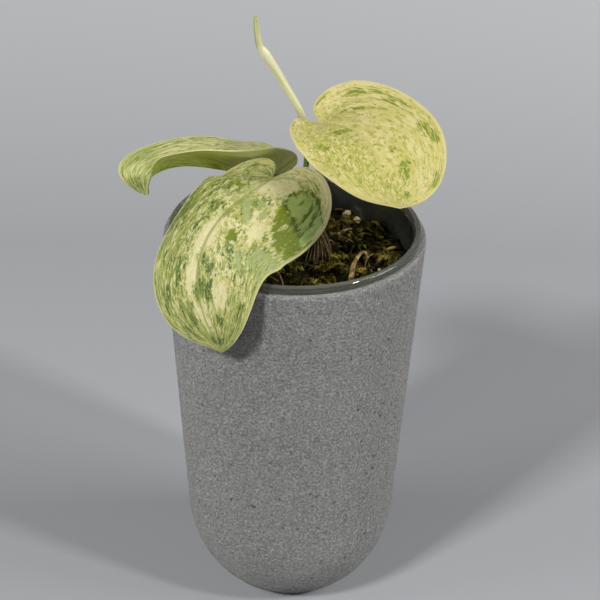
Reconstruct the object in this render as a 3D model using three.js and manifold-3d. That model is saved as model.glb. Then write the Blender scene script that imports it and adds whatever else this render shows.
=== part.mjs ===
// A young variegated scindapsus in a clear grow pot, which hangs by its lip in a tall cover pot.
// Millimetres, +Z up. The origin is the middle of the flat foot of the cover pot, and the
// side that a viewer faces is -Y.
import * as THREE from 'three';
import { mergeVertices } from 'three/addons/utils/BufferGeometryUtils.js';
import Module from 'manifold-3d';

const wasm = await Module();
wasm.setup();

// Everything that touches something else keeps this gap to it.
const seatGap = 0.3;
const potSides = 48;

// Cover pot: a flat foot, an elliptic corner and a straight flaring wall.
const coverHeight = 198;
const coverRimRadius = 62.4;
const coverWall = 4.5;
const coverFloor = 6.5;
const cornerTopHeight = 48.5;
const cornerTopRadius = 53.5;
const cornerAxisRadius = 16.5;
const cornerDepth = 52.3;
const rimRounding = 1.2;

// Clear grow pot: a thin tapered cup with a rolled lip.
const lipTop = 202;
const lipRadius = 60;
const lipInnerRadius = 57;
const growFloor = 88;
const growWall = 0.9;
const growFloorThickness = 1.2;
const growTopRadius = 57.1;
const growBaseRadius = 45.5;
const growCorner = 2;
const growWallFoot = growFloor + growCorner + 0.4;
const growWallHead = coverHeight + seatGap - 0.6;
const drainHoleRadius = 3.5;
const drainHoleRing = 28;
const drainHoles = 8;

// Potting mix: its mean surface and the size of its relief.
const mixTop = 187;
const mixRelief = 2.4;
const mixBottomRadius = 42;
const mixRings = 8;
const mixSides = 36;

// Stem: a short climbing stem with a skirt of old sheath fibres.
const stemFoot = new THREE.Vector3(12, 2, 162);
const stemRadius = 3.9;
const stemHoleDepth = 25;

// Stalks and blades.
const stalkSides = 8;
const bladeThickness = 0.8;
const bladeRows = 24;
const bladeColumns = 5;
const rollThickness = 0.35;

// One repeatable stream of numbers between 0 and 1.
let randomState = 4127;
function random() {
  randomState = (randomState * 16807) % 2147483647;
  return randomState / 2147483647;
}

function between(low, high) {
  return low + (high - low) * random();
}

function toSolid(geometry) {
  const bare = geometry.index ? geometry.toNonIndexed() : geometry.clone();
  bare.deleteAttribute('normal');
  bare.deleteAttribute('uv');
  const merged = mergeVertices(bare, 1e-3);
  return new wasm.Manifold(new wasm.Mesh({
    numProp: 3,
    vertProperties: merged.attributes.position.array,
    triVerts: new Uint32Array(merged.index.array),
  }));
}

function toGeometry(solid) {
  const mesh = solid.getMesh();
  const geometry = new THREE.BufferGeometry();
  geometry.setAttribute('position', new THREE.BufferAttribute(new Float32Array(mesh.vertProperties), 3));
  geometry.setIndex(new THREE.BufferAttribute(new Uint32Array(mesh.triVerts), 1));
  return geometry;
}

function namedMesh(name, geometry, colour, roughness, metalness = 0) {
  const flat = geometry.index ? geometry.toNonIndexed() : geometry;
  flat.computeVertexNormals();
  const mesh = new THREE.Mesh(flat, new THREE.MeshStandardMaterial({ color: colour, roughness, metalness }));
  mesh.name = name;
  return mesh;
}

// A solid of revolution about Z from [radius, height] pairs.
function turned(profile) {
  const points = profile.map(([radius, height]) => new THREE.Vector2(radius, height));
  return new THREE.LatheGeometry(points, potSides).rotateX(Math.PI / 2);
}

// A closed body skinned over rings of points, with a flat cap at each end.
function skinned(rings) {
  const sides = rings[0].length;
  const positions = rings.flat().flatMap((p) => [p.x, p.y, p.z]);
  const index = [];
  for (let row = 0; row < rings.length - 1; row += 1) {
    for (let side = 0; side < sides; side += 1) {
      const next = (side + 1) % sides;
      const a = row * sides + side;
      const b = row * sides + next;
      const c = (row + 1) * sides + next;
      const d = (row + 1) * sides + side;
      index.push(a, b, c, a, c, d);
    }
  }
  const last = (rings.length - 1) * sides;
  for (let side = 1; side < sides - 1; side += 1) {
    index.push(0, side + 1, side);
    index.push(last, last + side, last + side + 1);
  }
  const geometry = new THREE.BufferGeometry();
  geometry.setAttribute('position', new THREE.Float32BufferAttribute(positions, 3));
  geometry.setIndex(index);
  return geometry;
}

// A stalk along a curve. The section radius is a function of the way along and of the angle.
function stalk(curve, steps, sides, sectionRadius) {
  const frames = curve.computeFrenetFrames(steps, false);
  const rings = [];
  for (let step = 0; step <= steps; step += 1) {
    const along = step / steps;
    const centre = curve.getPointAt(along);
    const ring = [];
    for (let side = 0; side < sides; side += 1) {
      const angle = (side / sides) * 2 * Math.PI;
      const radius = sectionRadius(along, angle);
      ring.push(centre.clone()
        .addScaledVector(frames.normals[step], radius * Math.cos(angle))
        .addScaledVector(frames.binormals[step], radius * Math.sin(angle)));
    }
    rings.push(ring);
  }
  return skinned(rings);
}

function curveThrough(points) {
  return new THREE.CatmullRomCurve3(points.map(([x, y, z]) => new THREE.Vector3(x, y, z)), false, 'centripetal');
}

// Cover pot: the outside from the foot to the rim, then the inside back down to the floor.
function coverPot() {
  const reach = cornerTopRadius - cornerAxisRadius;
  const footAngle = Math.acos(cornerTopHeight / cornerDepth);
  const outside = [[0, 0]];
  const outerSteps = 8;
  for (let step = 0; step <= outerSteps; step += 1) {
    const angle = footAngle + (Math.PI / 2 - footAngle) * (step / outerSteps);
    outside.push([cornerAxisRadius + reach * Math.sin(angle), cornerTopHeight - cornerDepth * Math.cos(angle)]);
  }
  outside.push([coverRimRadius - 0.1, coverHeight - rimRounding]);
  outside.push([coverRimRadius - rimRounding * 0.4, coverHeight - rimRounding * 0.3]);
  outside.push([coverRimRadius - rimRounding, coverHeight]);
  const rimInner = coverRimRadius - coverWall;
  const inside = [[rimInner + 0.8, coverHeight], [rimInner, coverHeight - 0.8]];
  const innerSteps = 7;
  for (let step = 0; step < innerSteps; step += 1) {
    const angle = Math.PI / 2 * (1 - step / innerSteps);
    inside.push([
      cornerAxisRadius + (reach - coverWall) * Math.sin(angle),
      cornerTopHeight - (cornerTopHeight - coverFloor) * Math.cos(angle),
    ]);
  }
  inside.push([0, coverFloor]);
  return turned([...outside, ...inside]);
}

// Inner wall radius of the grow pot at a height.
function growInnerRadius(height) {
  const along = (height - growWallFoot) / (growWallHead - growWallFoot);
  return THREE.MathUtils.lerp(growBaseRadius, growTopRadius, along) - growWall;
}

// Grow pot: a cup whose rolled lip sits on the rim of the cover pot, with drain holes in its floor.
function growPot() {
  const lipFoot = coverHeight + seatGap;
  const outside = [
    [0, growFloor],
    [growBaseRadius - growCorner, growFloor],
    [growBaseRadius, growFloor + growCorner],
    [growTopRadius, growWallHead],
    [growTopRadius + 0.5, lipFoot],
    [lipRadius - 0.4, lipFoot],
    [lipRadius, lipFoot + 0.5],
    [lipRadius, lipTop - 1.1],
    [lipRadius - 0.7, lipTop - 0.2],
    [lipRadius - 1.6, lipTop],
    [lipInnerRadius + 0.4, lipTop - 0.3],
    [lipInnerRadius, lipTop - 1],
  ];
  const inside = [
    [growInnerRadius(growWallHead), growWallHead],
    [growInnerRadius(growWallFoot), growWallFoot],
    [growInnerRadius(growWallFoot) - growCorner, growFloor + growFloorThickness],
    [0, growFloor + growFloorThickness],
  ];
  let cup = toSolid(turned([...outside, ...inside]));
  for (let hole = 0; hole < drainHoles; hole += 1) {
    const angle = (hole / drainHoles) * 2 * Math.PI;
    const cutter = new THREE.CylinderGeometry(drainHoleRadius, drainHoleRadius, 6, 12).rotateX(Math.PI / 2);
    cutter.translate(drainHoleRing * Math.cos(angle), drainHoleRing * Math.sin(angle), growFloor);
    cup = cup.subtract(toSolid(cutter));
  }
  return toGeometry(cup);
}

// Height of the mix at a point: loose mounds that fade to level round the stem and at the wall.
function mixHeight(x, y) {
  const mounds = Math.sin(x / 6.1 + 0.7) * Math.cos(y / 7.3 - 0.4)
    + 0.6 * Math.sin((x + y) / 4.2) + 0.5 * Math.cos((x - 1.4 * y) / 5.1 + 1.9);
  const fromStem = Math.hypot(x - stemFoot.x, y - stemFoot.y);
  const fade = THREE.MathUtils.smoothstep(fromStem, 6, 16);
  return mixTop - 1 + mixRelief * 0.6 * mounds * fade;
}

function mixBody() {
  const rings = [];
  const wallHeights = [growFloor + growFloorThickness + seatGap, growFloor + 5, 140, mixTop - 4];
  const wallRadii = [mixBottomRadius, growInnerRadius(growFloor + 5), growInnerRadius(140), growInnerRadius(mixTop - 4)];
  const angles = Array.from({ length: mixSides }, (_, side) => (side / mixSides) * 2 * Math.PI);
  for (let level = 0; level < wallHeights.length; level += 1) {
    const radius = wallRadii[level] - seatGap;
    rings.push(angles.map((a) => new THREE.Vector3(radius * Math.cos(a), radius * Math.sin(a), wallHeights[level])));
  }
  const edge = growInnerRadius(mixTop - 5) - seatGap - 0.2;
  for (let ring = 0; ring < mixRings; ring += 1) {
    const radius = edge * (1 - ring / mixRings);
    rings.push(angles.map((a) => {
      const x = radius * Math.cos(a);
      const y = radius * Math.sin(a);
      return new THREE.Vector3(x, y, mixHeight(x, y));
    }));
  }
  const centre = new THREE.Vector3(0, 0, mixHeight(0, 0));
  rings.push(angles.map(() => centre.clone()));
  return skinned(rings);
}

// A free spot on the mix that is clear of the stem and of the wall.
function mixSpot(edgeRadius) {
  for (;;) {
    const radius = edgeRadius * Math.sqrt(random());
    const angle = 2 * Math.PI * random();
    const x = radius * Math.cos(angle);
    const y = radius * Math.sin(angle);
    if (Math.hypot(x - stemFoot.x, y - stemFoot.y) > 15) {
      return new THREE.Vector3(x, y, mixHeight(x, y));
    }
  }
}

function tumbled(geometry, spot, sink) {
  geometry.rotateX(between(0, Math.PI)).rotateY(between(0, Math.PI)).rotateZ(between(0, Math.PI));
  return geometry.translate(spot.x, spot.y, spot.z + sink);
}

// A strand of bark fibre or moss that rises out of the mix, arches over and dips in again.
function strand(x, y, heading, length, rise, radius) {
  const step = new THREE.Vector3(Math.cos(heading), Math.sin(heading), 0).multiplyScalar(length / 2);
  const curl = new THREE.Vector3(-step.y, step.x, 0).multiplyScalar(0.35);
  const foot = new THREE.Vector3(x, y, mixHeight(x, y) - 2.5);
  const top = foot.clone().add(step).add(curl);
  top.z = mixHeight(top.x, top.y) + rise;
  const end = foot.clone().addScaledVector(step, 2);
  end.z = mixHeight(end.x, end.y) - 2;
  const path = new THREE.QuadraticBezierCurve3(foot, top.setZ(top.z + rise), end);
  const outline = new THREE.Shape();
  outline.absarc(0, 0, radius, 0, 2 * Math.PI);
  return new THREE.ExtrudeGeometry(outline, { steps: 5, curveSegments: 3, extrudePath: path });
}

// Potting mix: the body, with its grains, chips, tufts and strands sunk into it, and a plain hole for the stem.
function pottingMix() {
  const pieces = [toSolid(mixBody())];
  const grains = 20;
  for (let grain = 0; grain < grains; grain += 1) {
    pieces.push(toSolid(tumbled(new THREE.IcosahedronGeometry(between(1.3, 2.2), 0), mixSpot(50), 0.5)));
  }
  const chips = 20;
  for (let chip = 0; chip < chips; chip += 1) {
    const block = new THREE.BoxGeometry(between(4, 8), between(2.5, 4.5), between(1.6, 2.6));
    pieces.push(toSolid(tumbled(block, mixSpot(47), 0.4)));
  }
  const tufts = 16;
  for (let tuft = 0; tuft < tufts; tuft += 1) {
    const cushion = new THREE.SphereGeometry(between(2.6, 4.2), 6, 4).scale(1, 1, 0.75);
    pieces.push(toSolid(tumbled(cushion, mixSpot(47), 0)));
  }
  const strands = 12;
  for (let fibre = 0; fibre < strands; fibre += 1) {
    const spot = mixSpot(36);
    const heading = Math.atan2(spot.y - stemFoot.y, spot.x - stemFoot.x) + between(-1.2, 1.2);
    pieces.push(toSolid(strand(spot.x, spot.y, heading, between(8, 13), between(1, 3), between(0.6, 0.9))));
  }
  // the pale curled fibre at the front, and the forked one behind it
  pieces.push(toSolid(strand(26, -27, 1.3, 22, 3.5, 1)));
  pieces.push(toSolid(strand(20, 14, 0.9, 13, 2, 0.9)));
  const body = pieces.reduce((whole, piece) => whole.add(piece));
  const holeRadius = stemRadius + 1.1;
  const hole = new THREE.CylinderGeometry(holeRadius, holeRadius, 60, 16).rotateX(Math.PI / 2);
  hole.translate(stemFoot.x, stemFoot.y, mixTop - stemHoleDepth + 30);
  return toGeometry(body.subtract(toSolid(hole)));
}

// Stem: upright in its hole, then leaning to the left, swollen at two nodes and ribbed by old sheaths.
const stemCurve = curveThrough([
  [stemFoot.x, stemFoot.y, mixTop - stemHoleDepth + seatGap],
  [stemFoot.x, stemFoot.y, 178],
  [11.6, 2.2, 190],
  [8.6, 3.6, 202],
  [5.2, 5, 212],
]);

function stem() {
  const ribs = 6;
  const core = toSolid(stalk(stemCurve, 16, 12, (along, angle) => {
    const node = Math.exp(-(((along - 0.62) / 0.04) ** 2)) + Math.exp(-(((along - 0.84) / 0.04) ** 2));
    return stemRadius * (1 - 0.12 * along) * (1 + 0.1 * node) + 0.25 * Math.cos(ribs * angle);
  }));
  const pieces = [core];
  const fibres = 9;
  for (let fibre = 0; fibre < fibres; fibre += 1) {
    const angle = (fibre / fibres) * 2 * Math.PI + 0.35;
    const outward = new THREE.Vector3(Math.cos(angle), Math.sin(angle), 0);
    const top = stemCurve.getPointAt(0.66 + 0.05 * (fibre % 3)).addScaledVector(outward, 2.4);
    const knee = stemCurve.getPointAt(0.56).addScaledVector(outward, 5.2);
    const foot = new THREE.Vector3(stemFoot.x, stemFoot.y, mixTop + 1.6);
    foot.addScaledVector(outward, 6.4 + 1.2 * (fibre % 2));
    const path = new THREE.QuadraticBezierCurve3(top, knee, foot);
    const outline = new THREE.Shape();
    outline.absellipse(0, 0, 0.8, 0.55, 0, 2 * Math.PI);
    pieces.push(toSolid(new THREE.ExtrudeGeometry(outline, { steps: 4, curveSegments: 3, extrudePath: path })));
  }
  return toGeometry(pieces.reduce((whole, piece) => whole.add(piece)));
}

// Smooth value along a blade from a few control values.
function blend(values, x) {
  const n = values.length - 1;
  let sum = 0;
  let choose = 1;
  for (let i = 0; i <= n; i += 1) {
    sum += choose * (1 - x) ** (n - i) * x ** i * values[i];
    choose = (choose * (n - i)) / (i + 1);
  }
  return sum;
}

// Half outline of a heart-shaped blade laid flat: x runs from the sinus to the tip, y out from the midrib.
function halfOutline(leaf, width) {
  const path = new THREE.CurvePath();
  const point = (x, y) => new THREE.Vector2(x, y);
  const shoulder = point(0.16 * leaf.length, width);
  const lobeEnd = point(-leaf.lobe, 0.42 * width);
  const notch = leaf.notch * width;
  path.add(new THREE.CubicBezierCurve(point(0, 0), point(-0.5 * leaf.lobe, 0.5 * notch), point(-leaf.lobe, notch), lobeEnd));
  path.add(new THREE.CubicBezierCurve(lobeEnd, point(-leaf.lobe, 0.78 * width), point(-0.35 * leaf.lobe, width), shoulder));
  path.add(new THREE.CubicBezierCurve(
    shoulder,
    point(leaf.fullness * leaf.length, width),
    point(leaf.tipReach * leaf.length, (leaf.tipWidth + 0.1) * width),
    point(leaf.length, 0),
  ));
  return path;
}

// Place and frame of the midrib: heading and rise are in degrees, and roll lifts the left half.
function midrib(leaf) {
  const steps = 80;
  const direction = (x) => {
    const heading = THREE.MathUtils.degToRad(blend(leaf.heading, x));
    const rise = THREE.MathUtils.degToRad(blend(leaf.rise, x));
    return { heading, rise };
  };
  const tangentAt = (x) => {
    const { heading, rise } = direction(x);
    return new THREE.Vector3(
      Math.cos(rise) * Math.cos(heading),
      Math.cos(rise) * Math.sin(heading),
      Math.sin(rise),
    );
  };
  const points = [new THREE.Vector3(...leaf.sinus)];
  for (let step = 1; step <= steps; step += 1) {
    const middle = tangentAt((step - 1) / steps).add(tangentAt(step / steps)).multiplyScalar(0.5);
    points.push(points[step - 1].clone().addScaledVector(middle, leaf.length / steps));
  }
  return (station) => {
    const x = THREE.MathUtils.clamp(station / leaf.length, 0, 1);
    const { heading, rise } = direction(x);
    const roll = THREE.MathUtils.degToRad(blend(leaf.roll, x));
    const tangent = tangentAt(x);
    const up = new THREE.Vector3(
      -Math.sin(rise) * Math.cos(heading),
      -Math.sin(rise) * Math.sin(heading),
      Math.cos(rise),
    );
    const flatLeft = new THREE.Vector3().crossVectors(up, tangent);
    const left = flatLeft.clone().multiplyScalar(Math.cos(roll)).addScaledVector(up, Math.sin(roll));
    const normal = up.clone().multiplyScalar(Math.cos(roll)).addScaledVector(flatLeft, -Math.sin(roll));
    const low = Math.min(Math.floor(x * steps), steps - 1);
    const place = points[low].clone().lerp(points[low + 1], x * steps - low);
    const behind = Math.min(station, 0);
    place.addScaledVector(tangent, behind);
    place.addScaledVector(normal, leaf.lobeLift * (behind / leaf.lobe) ** 2);
    return { x, place, left, normal };
  };
}

// The curved middle surface of a blade, as one sheet from the sinus to the tip.
function bladeSheet(leaf) {
  const frameAt = midrib(leaf);
  const fanShare = 0.16;
  const grid = [];
  for (let row = 0; row <= bladeRows; row += 1) {
    const q = row / bladeRows;
    const ribShare = Math.max(0, (q - fanShare) / (1 - fanShare));
    const ribStation = leaf.length * ribShare ** 1.12;
    const line = [];
    for (let column = -bladeColumns; column <= bladeColumns; column += 1) {
      const side = column < 0 ? -1 : 1;
      const width = side < 0 ? leaf.rightHalf : leaf.leftHalf;
      const edge = leaf.outlines[side].getPoint(q);
      const out = Math.abs(column) / bladeColumns;
      const station = ribStation + (edge.x - ribStation) * out;
      const across = edge.y * out;
      const { x, place, left, normal } = frameAt(station);
      const fold = THREE.MathUtils.degToRad(leaf.fold);
      const camber = THREE.MathUtils.degToRad(blend(side < 0 ? leaf.rightCamber : leaf.leftCamber, x));
      const bend = (Math.abs(camber) < 1e-4 ? 1e-4 : camber) / leaf.leftHalf;
      const sideways = (Math.sin(fold + bend * across) - Math.sin(fold)) / bend;
      const wave = leaf.wave * out ** 2 * Math.sin(Math.PI * q)
        * Math.sin(2 * Math.PI * leaf.waves * q + (side > 0 ? 0 : 1.3));
      const lift = (Math.cos(fold) - Math.cos(fold + bend * across)) / bend + wave;
      line.push(place.addScaledVector(left, side * sideways).addScaledVector(normal, lift));
    }
    grid.push(line);
  }
  const positions = grid.flat().flatMap((p) => [p.x, p.y, p.z]);
  const wide = 2 * bladeColumns + 1;
  const index = [];
  for (let row = 0; row < bladeRows; row += 1) {
    for (let column = 0; column < wide - 1; column += 1) {
      const a = row * wide + column;
      const b = a + 1;
      const c = a + wide + 1;
      const d = a + wide;
      if (column < bladeColumns) index.push(a, c, b, a, d, c);
      else index.push(a, d, b, b, d, c);
    }
  }
  const sheet = new THREE.BufferGeometry();
  sheet.setAttribute('position', new THREE.Float32BufferAttribute(positions, 3));
  sheet.setIndex(index);
  return mergeVertices(sheet, 1e-3);
}

// A closed body of even thickness over a sheet: both faces are split alike, and a band closes the edge.
function thickened(sheet, thickness) {
  const corners = [];
  for (let i = 0; i < sheet.index.count; i += 3) {
    const triangle = [sheet.index.getX(i), sheet.index.getX(i + 1), sheet.index.getX(i + 2)];
    if (new Set(triangle).size === 3) corners.push(triangle);
  }
  sheet.setIndex(corners.flat());
  sheet.computeVertexNormals();
  const places = sheet.attributes.position;
  const normals = sheet.attributes.normal;
  const positions = [];
  for (const side of [0.5, -0.5]) {
    for (let i = 0; i < places.count; i += 1) {
      positions.push(
        places.getX(i) + normals.getX(i) * thickness * side,
        places.getY(i) + normals.getY(i) * thickness * side,
        places.getZ(i) + normals.getZ(i) * thickness * side,
      );
    }
  }
  const under = places.count;
  const directed = new Set(corners.flatMap(([a, b, c]) => [`${a},${b}`, `${b},${c}`, `${c},${a}`]));
  const index = [];
  for (const [a, b, c] of corners) {
    index.push(a, b, c, under + a, under + c, under + b);
    for (const [from, to] of [[a, b], [b, c], [c, a]]) {
      if (!directed.has(`${to},${from}`)) {
        index.push(from, under + from, under + to, from, under + to, to);
      }
    }
  }
  const body = new THREE.BufferGeometry();
  body.setAttribute('position', new THREE.Float32BufferAttribute(positions, 3));
  body.setIndex(index);
  return body;
}

function blade(leaf) {
  leaf.outlines = { [-1]: halfOutline(leaf, leaf.rightHalf), 1: halfOutline(leaf, leaf.leftHalf) };
  return thickened(bladeSheet(leaf), bladeThickness);
}

// The front blade drapes over the rim at the front left.
const frontLeaf = {
  sinus: [-10.6, -15.5, 233.2], length: 100, leftHalf: 39.35, rightHalf: 35.7, lobe: 17.6,
  notch: 0.15, fullness: 0.85, tipWidth: 0.2, tipReach: 0.93,
  heading: [242.2, 166.4, 274.7, 382.9], rise: [5, -45.5, -64.1, -66.2], roll: [7.4, -16.4, 12.7, 139.9],
  fold: 1.1, rightCamber: [-23.8, -40.5, -22.3], leftCamber: [-95.8, -52.8, -27.8], lobeLift: 3.6, wave: 0.5, waves: 4.5,
};

// The left blade arches away to the left, folded like a gutter.
const leftLeaf = {
  sinus: [-10.3, 23, 216.7], length: 76.3, leftHalf: 29.9, rightHalf: 35.2, lobe: 10.6,
  notch: 0.13, fullness: 0.77, tipWidth: 0.19, tipReach: 1.01,
  heading: [180.2, 157.6, 119.7, 239.6], rise: [2.7, -4.6, 7.6, -62.3], roll: [26.7, 16.2, 25.3, -8.7],
  fold: 24.8, rightCamber: [-1.7, -18.2, -8.9], leftCamber: [-0.4, -14.4, -38.7], lobeLift: 1.7, wave: 0.4, waves: 4.5,
};

// The right blade faces the viewer over the right of the rim.
const rightLeaf = {
  sinus: [13.9, 3.3, 252.4], length: 74.8, leftHalf: 37.6, rightHalf: 32.6, lobe: 10.9,
  notch: 0.09, fullness: 0.76, tipWidth: 0.26, tipReach: 0.91,
  heading: [-24, -75, -92, -69], rise: [15.5, -7, -38, -7], roll: [-6, 6, -11, -13],
  fold: 4.2, rightCamber: [-13, -33, -42], leftCamber: [31, -25, -47], lobeLift: 5.5, wave: 0.6, waves: 4,
};

// A leaf stalk that ends square under the sinus of its blade, where it swells a little.
function petiole(leaf, points, footRadius, topRadius) {
  const { place, normal } = midrib(leaf)(0);
  const under = (depth) => place.clone().addScaledVector(normal, -depth).toArray();
  const path = curveThrough([...points, under(4.5), under(bladeThickness / 2 + seatGap)]);
  return stalk(path, 14, stalkSides, (along) => {
    const joint = 0.25 * Math.exp(-(((along - 0.92) / 0.06) ** 2));
    return footRadius + (topRadius - footRadius) * along ** 0.6 + joint;
  });
}

// New leaf: rolled up tight, so that its section is a spiral step, with a kink below its thin tip.
function newLeaf() {
  const curve = curveThrough([
    [4.6, 7.2, 212.6],
    [3.6, 8.3, 224],
    [4.1, 8.8, 238],
    [3.2, 8.4, 252],
    [-6.4, 8, 270.4],
    [-14.2, 7.6, 283.6],
    [-17, 7.4, 288],
    [-18.2, 7.4, 295],
    [-18.8, 7.4, 301.5],
  ]);
  const radii = [1, 1, 1.1, 1.3, 1.75, 2.3, 1.6, 1.1, 0.45];
  return stalk(curve, 26, 10, (along, angle) => {
    const scaled = along * (radii.length - 1);
    const low = Math.min(Math.floor(scaled), radii.length - 2);
    const radius = THREE.MathUtils.lerp(radii[low], radii[low + 1], scaled - low);
    return radius + rollThickness * (angle / (2 * Math.PI) - 0.5) * radius / 2;
  });
}

const group = new THREE.Group();

const pots = new THREE.Group();
pots.add(namedMesh('cover_pot', coverPot(), 0x8b8c8f, 0.95));
pots.add(namedMesh('grow_pot', growPot(), 0xaeb4ba, 0.15));
pots.add(namedMesh('potting_mix', pottingMix(), 0x2b2416, 1));
group.add(pots);

const plant = new THREE.Group();
plant.add(namedMesh('stem', stem(), 0x5d5a2c, 0.8));
plant.add(namedMesh('petiole_front', petiole(frontLeaf, [
  [7.2, -2.2, 196], [4.5, -5.4, 206], [-1.5, -10.5, 217],
], 1.8, 1.2), 0x6f8f3a, 0.5));
plant.add(namedMesh('petiole_left', petiole(leftLeaf, [
  [4.6, 7.3, 201], [-0.6, 12.6, 205], [-6, 18, 208.6],
], 1.8, 1.2), 0x6f8f3a, 0.5));
plant.add(namedMesh('petiole_right', petiole(rightLeaf, [
  [5.4, 3.7, 212.6], [4.3, 4.6, 222], [4.6, 5, 234], [7.8, 5, 243],
], 1.6, 1), 0x5f8436, 0.5));
plant.add(namedMesh('leaf_front', blade(frontLeaf), 0xb9c68c, 0.5));
plant.add(namedMesh('leaf_left', blade(leftLeaf), 0xaebd86, 0.5));
plant.add(namedMesh('leaf_right', blade(rightLeaf), 0xd9dc9a, 0.5));
plant.add(namedMesh('new_leaf', newLeaf(), 0xdfe3a4, 0.5));
group.add(plant);

export default group;
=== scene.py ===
# A young marbled scindapsus in a clear grow pot, which hangs by its lip in a tall rough cover pot.
import bpy, math, random
from mathutils import Matrix, Vector, noise


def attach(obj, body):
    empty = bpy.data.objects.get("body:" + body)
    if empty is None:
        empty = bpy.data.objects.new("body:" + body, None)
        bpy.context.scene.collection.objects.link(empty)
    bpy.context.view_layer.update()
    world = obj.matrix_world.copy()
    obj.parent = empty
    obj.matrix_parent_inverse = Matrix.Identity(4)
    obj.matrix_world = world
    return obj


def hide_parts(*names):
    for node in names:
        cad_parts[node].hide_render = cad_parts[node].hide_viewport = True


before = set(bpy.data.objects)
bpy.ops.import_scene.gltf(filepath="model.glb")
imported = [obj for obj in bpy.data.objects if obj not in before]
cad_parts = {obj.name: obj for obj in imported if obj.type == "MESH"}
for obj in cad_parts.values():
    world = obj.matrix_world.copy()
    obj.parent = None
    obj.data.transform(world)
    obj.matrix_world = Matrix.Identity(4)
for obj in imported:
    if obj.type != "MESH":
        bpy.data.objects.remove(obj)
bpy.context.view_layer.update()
mm = 0.001  # every size below is in millimetres
random.seed(23)


# ---- small helpers ----
def hexColour(code, alpha=1.0):
    channels = [int(code[i:i + 2], 16) / 255 for i in (1, 3, 5)]
    return [c / 12.92 if c <= 0.04045 else ((c + 0.055) / 1.055) ** 2.4 for c in channels] + [alpha]


# Adds one node, sets it, links it, and gives back its first output (the colour one on a colour Mix).
def addNode(tree, kind, inputs=None, stops=None, output=0, **settings):
    new = tree.nodes.new("ShaderNode" + kind)
    for name, value in settings.items():
        setattr(new, name, value)
    for i, (place, colour) in enumerate(stops or []):
        stop = new.color_ramp.elements[i] if i < 2 else new.color_ramp.elements.new(place)
        stop.position, stop.color = place, hexColour(colour)
    for name, value in (inputs or {}).items():
        if isinstance(value, bpy.types.NodeSocket):
            tree.links.new(value, new.inputs[name])
        elif isinstance(value, str):
            new.inputs[name].default_value = hexColour(value)
        else:
            new.inputs[name].default_value = value
    return new.outputs[2 if settings.get("data_type") == "RGBA" else output]


def newFinish(name, **sockets):
    material = bpy.data.materials.new(name)
    material.use_nodes = True
    shader = material.node_tree.nodes["Principled BSDF"]
    for label, value in sockets.items():
        shader.inputs[label.replace("_", " ")].default_value = value
    return material, material.node_tree, shader


def dress(piece, *finishes):
    piece.data.materials.clear()
    for finish in finishes:
        piece.data.materials.append(finish)


def deselectAll():
    bpy.ops.object.select_all(action="DESELECT")


def settle(piece, slot, *nodes):
    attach(piece, "root")
    if nodes:
        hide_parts(*nodes)


# Turns a profile of (radius, height) points round the Z axis into a smooth closed body.
def turnProfile(name, profile, steps):
    deselectAll()
    bpy.ops.mesh.primitive_plane_add(size=mm, location=(0, 0, 0))
    piece = bpy.context.object
    piece.name = name
    bpy.ops.object.mode_set(mode="EDIT")
    bpy.ops.mesh.select_all(action="SELECT")
    bpy.ops.mesh.merge(type="CENTER")
    bpy.ops.transform.translate(value=(profile[0][0] * mm, 0, profile[0][1] * mm))
    for (r0, z0), (r1, z1) in zip(profile, profile[1:]):
        bpy.ops.mesh.extrude_region_move(TRANSFORM_OT_translate={"value": ((r1 - r0) * mm, 0, (z1 - z0) * mm)})
    bpy.ops.mesh.select_all(action="SELECT")
    bpy.ops.mesh.spin(steps=steps, angle=2 * math.pi, center=(0, 0, 0), axis=(0, 0, 1))
    bpy.ops.mesh.select_all(action="SELECT")
    bpy.ops.mesh.remove_doubles(threshold=1e-6)
    bpy.ops.mesh.normals_make_consistent(inside=False)
    bpy.ops.object.mode_set(mode="OBJECT")
    bpy.ops.object.shade_smooth_by_angle(angle=math.radians(40))
    return piece


# Tubes along paths of (x, y, z, radius) points, all in one piece, with rounded ends left closed.
def tubes(name, paths, sides=6, cyclicCaps=True):
    curve = bpy.data.curves.new(name, "CURVE")
    curve.dimensions = "3D"
    curve.resolution_u = 3
    curve.bevel_depth = mm
    curve.bevel_resolution = max(0, sides // 2 - 2)
    curve.use_fill_caps = cyclicCaps
    for path in paths:
        spline = curve.splines.new("NURBS")
        spline.points.add(len(path) - 1)
        for point, (x, y, z, radius) in zip(spline.points, path):
            point.co = (x * mm, y * mm, z * mm, 1)
            point.radius = radius
        spline.order_u = min(4, len(path))
        spline.use_endpoint_u = True
    piece = bpy.data.objects.new(name, curve)
    bpy.context.scene.collection.objects.link(piece)
    deselectAll()
    piece.select_set(True)
    bpy.context.view_layer.objects.active = piece
    bpy.ops.object.convert(target="MESH")
    bpy.ops.object.shade_smooth()
    return bpy.context.object


# ---- camera, lights and floor ----
view = {"place": (3.1, -627.0, 535.3), "down": 30.9, "roll": 1.07, "lens": 90}
bpy.ops.object.camera_add(location=[v * mm for v in view["place"]])
camera = bpy.context.object
tilt = Matrix.Rotation(math.radians(90 - view["down"]), 3, "X") @ Matrix.Rotation(math.radians(view["roll"]), 3, "Z")
camera.rotation_euler = tilt.to_euler()
camera.data.lens = view["lens"]
camera.data.sensor_width = 36
camera.data.clip_start = 0.01
bpy.context.scene.camera = camera
bpy.context.scene.view_settings.view_transform = "Standard"  # colours come out as they were picked

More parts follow.
